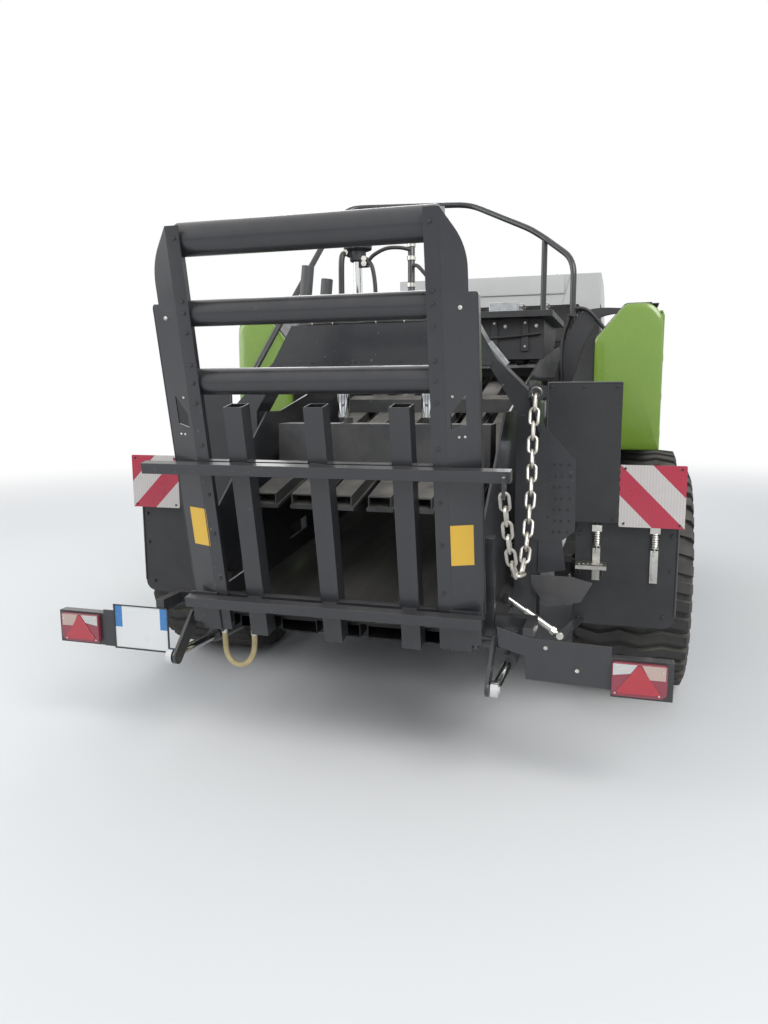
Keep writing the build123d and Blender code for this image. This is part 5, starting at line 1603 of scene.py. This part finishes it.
@dataclass
class SideCovers(Assembly):
    """Ribs, grips and seams of the doors, caps and front hood."""

    door_face: float = 1334
    rear_y: float = -1670
    front_y: float = 1295
    rib_zs: tuple[float, ...] = (1340, 1560, 1780)
    rib_half: float = 24
    grip_ys: tuple[float, ...] = (-900, 500)
    marker_ys: tuple[float, ...] = (-1500, -200, 1150)
    # Corners of a cap as X and Z, and how far from each its bend begins, metres
    cap: tuple[Flat, ...] = ((955, 1250), (955, 1890), (1120, 2085), (1262, 2085), (1326, 2010), (1334, 1250))
    cap_bends: tuple[float, ...] = (0.012, 0.020, 0.030, 0.060, 0.060, 0.012)
    # Curve of a cap: share of the outline's size and height, millimetres
    crown: tuple[Flat, ...] = ((1.0, 0), (1.0, 17), (0.994, 22), (0.98, 25.5), (0.90, 29), (0.70, 33),
                               (0.4, 36))
    hood_side: float = 901
    seal: tuple[Flat, ...] = ((953, 1250), (953, 1890), (1119, 2087), (1262, 2087))
    hood_seam_x: float = 520
    side_vents: int = 9
    front_vents: int = 12

    def build(self) -> None:
        """Make the doors' relief, the caps and the hood's fittings."""
        for side, body in ((Side.LEFT, Body.DOOR_LEFT), (Side.RIGHT, Body.DOOR_RIGHT)):
            self._door(side, body)
        self._caps()
        self._hood()

    def _door(self, side: Side, body: Body) -> None:
        """Ribs, grips and markers of one door.

        Args:
            side: The door's side.
            body: The door's body.
        """
        s = side.value
        word = side.name.lower()
        face = s * self.door_face
        y0, y1, half = self.rear_y + 60, self.front_y - 60, self.rib_half
        ribs = Shape()
        for z in self.rib_zs:
            outline = [(y0, z), (y0 + 30, z - half), (y1 - 30, z - half), (y1, z), (y1 - 30, z + half),
                       (y0 + 30, z + half)]
            ribs.plate_yz(outline, face, face + s * 5)
        self.make(ribs, f"door_ribs_{word}", Finishes.GREEN_SHELL, body, bevel=4)
        grips = Shape()
        for y in self.grip_ys:
            grips.box((face, face + s * 10), (y - 70, y + 70), (1276, 1306))
        self.make(grips, f"door_grips_{word}", Finishes.DARK_SHEET, body, bevel=3)
        markers = Shape()
        for y in self.marker_ys:
            markers.box((face, face + s * 6), (y - 46, y + 46), (1286, 1312))
        self.make(markers, f"side_markers_{word}", Finishes.LENS_AMBER, body, bevel=1)

    def _caps(self) -> None:
        """Crowned shells at both ends of the side bodies."""
        shells = Shape()
        for side in Side:
            for seat, way in ((self.rear_y - 5, -1), (self.front_y + 5, 1)):
                outline = self._cap_outline(side)
                middle = sum(outline, Vector()) / len(outline)
                rings = [shells.ring([middle + (p - middle) * share + at(0, seat + way * rise, 0)
                                      for p in outline]) for share, rise in self.crown]
                shells.skin(rings)
        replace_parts(self.make(shells, "cap_shells", Finishes.GREEN), "side_caps")
        seals = Shape()
        for side in Side:
            for y in (self.rear_y + 1, self.front_y - 1):
                line = [at(side.value * x, y, z) for x, z in self.seal]
                seals.sweep(bent_line(line, 0.02), 4, 8)
        self.make(seals, "cap_seals", Finishes.SEAM)

    def _cap_outline(self, side: Side) -> list[Vector]:
        """Rounded outline of a cap.

        Args:
            side: The cap's side.

        Returns:
            The outline's points at Y = 0.
        """
        corners = [at(side.value * x, 0, z) for x, z in self.cap]
        outline = []
        for i, reach in enumerate(self.cap_bends):
            trio = [corners[i - 1], corners[i], corners[(i + 1) % len(corners)]]
            outline += bent_line(trio, reach, 6)[1:-1]
        return outline

    def _hood(self) -> None:
        """Vents, mouldings, seams and front markers of the hood."""
        vents = Shape()
        for s in (-1, 1):
            for i in range(self.side_vents):
                z = 1640 + 46 * i
                vents.box((s * 896, s * 903), (1480, 2180 - 14 * i), (z, z + 16))
        for i in range(self.front_vents):
            z = 1540 + 26 * i
            vents.box((-420, 420), (2396, 2404), (z, z + 12))
        self.make(vents, "hood_vents", Finishes.SEAM, bevel=1)
        mouldings = Shape()
        corner = ((578, 2338), (650, 2597), (898, 2597), (898, 2262), (760, 2262), (716, 2338))
        for s in (-1, 1):
            mouldings.plate_xz([(s * x, z) for x, z in corner], 728, 762)
        mouldings.plate_yz([(758, 2597), (736, 2452), (738, 2436), (752, 2430), (764, 2597)], -590, 590)
        self.make(mouldings, "hood_mouldings", Finishes.PALE_SHELL, bevel=9)
        seams = Shape()
        top = ((765, 2601), (1500, 2601), (2051, 2501), (2331, 2150), (2401, 1700), (2401, 1482))
        for x in (-self.hood_seam_x, self.hood_seam_x):
            seams.sweep(bent_line([at(x, y, z) for y, z in top], 0.05), 3.5, 8)
        for x in (-self.hood_side, self.hood_side):
            seams.sweep([at(x, y, 2110) for y in (1360, 1400, 2240)], 3, 8)
        self.make(seams, "hood_seams", Finishes.SEAM)
        lamps = Shape()
        for s in (-1, 1):
            lamps.box((s * 700, s * 820), (2398, 2410), (1560, 1620))
        self.make(lamps, "front_markers", Finishes.LENS_CLEAR, bevel=2)


@dataclass
class Railing(Assembly):
    """Round guard rail over the deck."""

    radius: float = 19.0
    bend: float = 0.10
    route: tuple[Spot, ...] = (
        (800, -1320, 2058), (800, -1320, 2400), (600, -1140, 2570), (500, -1100, 2640), (50, -850, 2877),
        (-780, -1050, 2868), (-850, -1350, 2580), (-1070, -1950, 1770))
    foot: tuple[Spot, ...] = (
        (-1070, -1950, 1770), (-1082, -1985, 1722), (-1082, -1900, 1700), (-1082, -1722, 1700))
    foot_bolts: tuple[Flat, ...] = ((-1110, 1672), (-1054, 1672), (-1110, 1728), (-1054, 1728))

    def build(self) -> None:
        """Make the bent tube, its post and the flanges at their feet."""
        shape = Shape().sweep(bent_line([at(*spot) for spot in self.route], self.bend), self.radius, 16)
        shape.sweep([at(600, -1140, 2098), at(600, -1140, 2565)], self.radius, 16)
        shape.lathe(at(600, -1140, 2098), UP, [(0, 0.045), (0.008, 0.045), (0.010, 0.040)], 20)
        shape.box((770, 830), (-1350, -1290), (2056, 2066))
        shape.sweep(bent_line([at(*spot) for spot in self.foot], 0.03), self.radius, 16)
        shape.box((-1122, -1042), (-1732, -1724), (1660, 1740))
        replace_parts(self.make(shape, "guard_rail", Finishes.FRAME), "railing")
        bolts = Shape()
        for x, z in self.foot_bolts:
            bolts.bolt(at(x, -1732, z), REARWARDS, 11)
        self.make(bolts, "rail_foot_bolts", Finishes.ZINC)


@dataclass
class KnotterDeck(Assembly):
    """Knotter heads, twine guides and valve blocks on the deck."""

    pitch: float = 200
    count: int = 6
    disc: float = 0.160
    teeth: int = 18
    disc_bolts: int = 6
    rib_y: float = -1264
    deck_edge_y: float = -1250
    conduit: tuple[Spot, ...] = ((-600, -1268, 1960), (-300, -1270, 1940), (0, -1270, 1952),
                                 (300, -1270, 1938), (600, -1268, 1960))
    valve_hoses: int = 5

    def build(self) -> None:
        """Make the knotters' open works and the deck's fittings."""
        self._knotters()
        self._edge()
        self._valves()

    def _knotters(self) -> None:
        """Toothed discs and twine hooks of the six knotters."""
        _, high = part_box("knotters")
        rim = [v.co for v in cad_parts["knotters"].data.vertices if v.co.z > high[2] - 0.01]
        shaft = Vector((0, sum(p.y for p in rim) / len(rim), high[2] - self.disc))
        discs = Shape()
        hooks = Shape()
        for i in range(self.count):
            x = self.pitch * (i - (self.count - 1) / 2) / 1000
            self._disc(discs, shaft + ACROSS * (x + 0.0115))
            self._hook(hooks, shaft + ACROSS * (x + 0.038))
        self.make(discs, "knotter_gears", Finishes.BRIGHT)
        self.make(hooks, "knotter_hooks", Finishes.ZINC)

    def _disc(self, shape: Shape, centre: Vector) -> None:
        """Hub, teeth and bolts of one disc.

        Args:
            shape: Gets the disc.
            centre: The disc's centre.
        """
        shape.lathe(centre, ACROSS, [(0, 0.050), (0.006, 0.052), (0.020, 0.048), (0.022, 0.036)], 28)
        for k in range(self.teeth):
            turn = math.tau * k / self.teeth
            tooth = centre + Vector((0, math.cos(turn), math.sin(turn))) * (self.disc - 0.008)
            shape.rod(tooth - ACROSS * 0.023, tooth + ACROSS * 0.006, 9, 8)
        for k in range(self.disc_bolts):
            turn = math.tau * k / self.disc_bolts
            shape.bolt(centre + Vector((0, math.cos(turn), math.sin(turn))) * 0.085, ACROSS, 15)

    @staticmethod
    def _hook(shape: Shape, root: Vector) -> None:
        """Bent hook and twine guide of one knotter.

        Args:
            shape: Gets the hook.
            root: Where the hook leaves the shaft.
        """
        bends = ((0, 0, 0), (0, -0.05, -0.10), (0, -0.04, -0.18), (-0.01, 0.0, -0.22), (-0.02, 0.05, -0.21))
        shape.sweep(smooth_line([root + Vector(bend) for bend in bends]), 9, 8)
        guide = [(0, 0.014), (0.03, 0.022), (0.034, 0.012), (0.07, 0.011), (0.075, 0.018), (0.09, 0.016)]
        shape.lathe(root + Vector((-0.07, -0.03, -0.20)), Vector((0.2, 0.3, 1)), guide, 14)

    def _edge(self) -> None:
        """Ribs, studs and conduit at the deck's rear edge."""
        ribs = Shape()
        studs = Shape()
        for x in range(-500, 501, 200):
            outline = [(x - 24, 1850), (x + 24, 1850), (x + 20, 2056), (x - 20, 2056)]
            ribs.plate_xz(outline, self.rib_y, self.deck_edge_y)
            studs.bolt(at(x + 70, self.deck_edge_y, 2010), REARWARDS, 19)
            studs.bolt(at(x, self.rib_y, 1880), REARWARDS, 13)
            studs.bolt(at(x, self.rib_y, 2030), REARWARDS, 13)
        self.make(ribs, "deck_ribs", Finishes.FRAME_MATT, bevel=2)
        self.make(studs, "deck_studs", Finishes.ZINC)
        self.make(Shape().hose(self.conduit, 8), "deck_conduit", Finishes.BLACK_HOSE)

    def _valves(self) -> None:
        """Two valve blocks on the deck, with hoses."""
        blocks = Shape()
        blocks.box((-560, -300), (-1000, -820), (2100, 2190))
        blocks.box((240, 420), (-1120, -960), (2100, 2180))
        self.make(blocks, "valve_blocks", Finishes.GALVANISED, bevel=4)
        lines = Shape()
        for i in range(self.valve_hoses):
            x = -530 + 50 * i
            lines.hose([(x, -1000, 2140), (x, -1060, 2150), (x + 20, -1110, 2120), (x + 30, -1135, 2104)], 8)
        self.make(lines, "valve_hoses", Finishes.BLACK_HOSE)


@dataclass
class Underside(Assembly):
    """Fittings of the tandem, drawbar, jack and pick-up."""

    hitch_y: float = 3812
    crank_x: float = -195
    crank_y: float = 3150
    hose_xs: tuple[float, ...] = (-60, -30, 0, 30)
    tine_rows: int = 4
    tines: int = 16
    tine_pitch: float = 122
    coil_circle: float = 0.130
    coil: tuple[Flat, ...] = ((0, 0.020), (0.008, 0.023), (0.011, 0.019), (0.018, 0.023), (0.022, 0.019),
                              (0.028, 0.023), (0.033, 0.019), (0.044, 0.020))

    def build(self) -> None:
        """Make the frame's bolts, the drawbar's hoses, the jack's crank and the tines' coils."""
        self._bolts()
        lines = Shape()
        for x in self.hose_xs:
            lines.hose([(x, 2090, 700), (x, 2150, 752), (x, 2400, 752), (x, 2800, 690), (x * 1.2, 3200, 632),
                        (x * 1.3, 3420, 600), (x * 1.2, 3500, 600)], 9)
        self.make(lines, "drawbar_hoses", Finishes.BLACK_HOSE)
        self._crank()
        self._coils()

    def _bolts(self) -> None:
        """Bolts of the front frame, the hitch and the rocker beams."""
        bolts = Shape()
        for x in (-210, -150, 150, 210):
            for z in (570, 725):
                bolts.bolt(at(x, 2085, z), FORWARDS, 24)
        for x in (-60, 60):
            for z in (440, 500):
                bolts.bolt(at(x, self.hitch_y - 85, z), FORWARDS, 19)
        for side in Side:
            for y in (-2190, -1910, -910, -630):
                bolts.bolt(at(side.value * 880, y, 590), Vector((side.value, 0, 0)), 24)
        self.make(bolts, "frame_bolts", Finishes.ZINC)

    def _crank(self) -> None:
        """Crank of the jack."""
        x, y = self.crank_x, self.crank_y
        crank = Shape()
        crank.sweep([at(x, y, 780), at(x, y, 812)], 9)
        crank.sweep([at(x, y, 806), at(x - 95, y, 806)], 7)
        crank.sweep([at(x - 95, y, 800), at(x - 95, y, 870)], 9)
        self.make(crank, "jack_crank", Finishes.ZINC)

    def _coils(self) -> None:
        """Spring coils at the foot of each pick-up tine."""
        low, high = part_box("pickup_reel")
        middle = (Vector(low) + Vector(high)) / 2
        circle = self.coil_circle
        coils = Shape()
        for row in range(self.tine_rows):
            turn = math.tau * row / self.tine_rows
            for i in range(self.tines):
                x = (self.tine_pitch * (i - (self.tines - 1) / 2)) / 1000
                seat = middle + Vector((x, -circle * math.sin(turn), circle * math.cos(turn)))
                coils.lathe(seat - ACROSS * 0.022, ACROSS, self.coil, 12)
        self.make(coils, "tine_coils", Finishes.BRIGHT, Body.REEL)


@dataclass
class PhotoCamera:
    """The camera at the photograph's viewpoint."""

    place: Spot = (1.133, -6.508, 1.60)
    turn_left: float = 16.9
    pitch_down: float = 8.76
    roll: float = -0.33
    lens: float = 27.63

    def build(self) -> None:
        """Make the camera and set it as the scene's."""
        data = bpy.data.cameras.new("photo_camera")
        data.sensor_width = 36.0
        data.lens = self.lens
        data.clip_end = 200.0
        camera = bpy.data.objects.new("photo_camera", data)
        bpy.context.scene.collection.objects.link(camera)
        aim = Matrix.Rotation(math.radians(self.turn_left), 4, "Z")
        tilt = Matrix.Rotation(math.radians(90 - self.pitch_down), 4, "X")
        spin = Matrix.Rotation(math.radians(self.roll), 4, "Z")
        camera.matrix_world = Matrix.Translation(self.place) @ aim @ tilt @ spin
        bpy.context.scene.camera = camera


@dataclass
class Studio:
    """Pale floor, white surround and soft lamps."""

    floor_half: float = 60.0
    floor_color: Color = (0.72, 0.72, 0.71)
    fade_from: float = 5.0
    fade_to: float = 13.0
    sky: Color = (0.80, 0.85, 0.92)
    sky_strength: float = 0.75
    # Lamps: name, place, aim, power in watts and size
    lamps: tuple[tuple[str, Spot, Spot, float, float], ...] = (
        ("key_light", (5.5, -8.5, 7.5), (0.0, -2.0, 1.0), 640, 5.0),
        ("fill_light", (-8.0, -6.0, 4.5), (0.0, -2.5, 1.0), 330, 6.0),
        ("back_light", (-3.0, 7.0, 7.0), (0.0, 0.0, 1.2), 300, 6.0))

    def build(self) -> None:
        """Make the floor, the world and the lamps."""
        s = self.floor_half
        mesh = bpy.data.meshes.new("floor")
        mesh.from_pydata([(-s, -s, 0), (s, -s, 0), (s, s, 0), (-s, s, 0)], [], [(0, 1, 2, 3)])
        floor = bpy.data.objects.new("floor", mesh)
        bpy.context.scene.collection.objects.link(floor)
        floor.data.materials.append(self._floor_finish())
        self._world()
        for name, place, aim, power, size in self.lamps:
            self._lamp(name, place, aim, power, size)

    @staticmethod
    def _mixed(tree: Tree, factor: Socket, low: bpy.types.Node, high: bpy.types.Node, end: str) -> None:
        """Mix two shaders and put the result out.

        Args:
            tree: The tree that gets the node.
            factor: 0 gives the first shader and 1 the second.
            low: The first shader.
            high: The second shader.
            end: Name of the output node.
        """
        mix = tree.nodes.new("ShaderNodeMixShader")
        tree.links.new(factor, mix.inputs[0])
        tree.links.new(low.outputs[0], mix.inputs[1])
        tree.links.new(high.outputs[0], mix.inputs[2])
        tree.links.new(mix.outputs[0], tree.nodes[end].inputs["Surface"])

    def _floor_finish(self) -> bpy.types.Material:
        """Pale floor that turns to white far away.

        Returns:
            The floor's material.
        """
        material = bpy.data.materials.new("pale_floor")
        material.use_nodes = True
        tree = material.node_tree
        shader = tree.nodes["Principled BSDF"]
        shader.inputs["Base Color"].default_value = (*self.floor_color, 1)
        shader.inputs["Roughness"].default_value = 0.85
        glow = tree.nodes.new("ShaderNodeEmission")
        glow.inputs["Color"].default_value = (1, 1, 1, 1)
        glow.inputs["Strength"].default_value = 1.0
        length = tree.nodes.new("ShaderNodeVectorMath")
        length.operation = "LENGTH"
        tree.links.new(object_place(tree), length.inputs[0])
        fade = tree.nodes.new("ShaderNodeMapRange")
        fade.interpolation_type = "SMOOTHSTEP"
        fade.inputs["From Min"].default_value = self.fade_from
        fade.inputs["From Max"].default_value = self.fade_to
        tree.links.new(length.outputs["Value"], fade.inputs["Value"])
        rays = tree.nodes.new("ShaderNodeLightPath")
        seen = calc(tree, "MULTIPLY", fade.outputs[0], rays.outputs["Is Camera Ray"])
        self._mixed(tree, seen, shader, glow, "Material Output")
        return material

    def _world(self) -> None:
        """Soft sky light, seen as white by the camera."""
        world = bpy.data.worlds.new("studio")
        bpy.context.scene.world = world
        world.use_nodes = True
        tree = world.node_tree
        light = tree.nodes["Background"]
        light.inputs["Color"].default_value = (*self.sky, 1)
        light.inputs["Strength"].default_value = self.sky_strength
        white = tree.nodes.new("ShaderNodeBackground")
        white.inputs["Color"].default_value = (1, 1, 1, 1)
        rays = tree.nodes.new("ShaderNodeLightPath").outputs
        seen = calc(tree, "MAXIMUM", rays["Is Camera Ray"], rays["Is Transmission Ray"])
        self._mixed(tree, calc(tree, "MAXIMUM", seen, rays["Is Glossy Ray"]), light, white, "World Output")

    @staticmethod
    def _lamp(name: str, place: Spot, aim: Spot, power: float, size: float) -> None:
        """Square soft lamp that looks at a point.

        Args:
            name: The lamp's name.
            place: Where it stands.
            aim: The point that it looks at.
            power: Its power, watts.
            size: Its width, metres.
        """
        data = bpy.data.lights.new(name, "AREA")
        data.energy = power
        data.size = size
        lamp = bpy.data.objects.new(name, data)
        lamp.location = place
        lamp.rotation_euler = (Vector(aim) - Vector(place)).to_track_quat("-Z", "Y").to_euler()
        bpy.context.scene.collection.objects.link(lamp)


def main() -> None:
    """Build everything in order."""
    logging.basicConfig(level=logging.INFO, format="%(name)s: %(message)s")
    bpy.context.scene.view_settings.view_transform = "Standard"
    PhotoCamera().build()
    Studio().build()
    shop = Paintshop()
    assemblies = (FrameDress, LoopHose, SafetyChain, Tyres, ChuteFittings, PressHead, PortalPlates,
                  RearGuards, Railing, TailLamps, SideCovers, KnotterDeck, Underside)
    for kind in assemblies:
        LOG.info("building %s", kind.__name__)
        kind(shop).build()


if __name__ == "__main__":
    main()
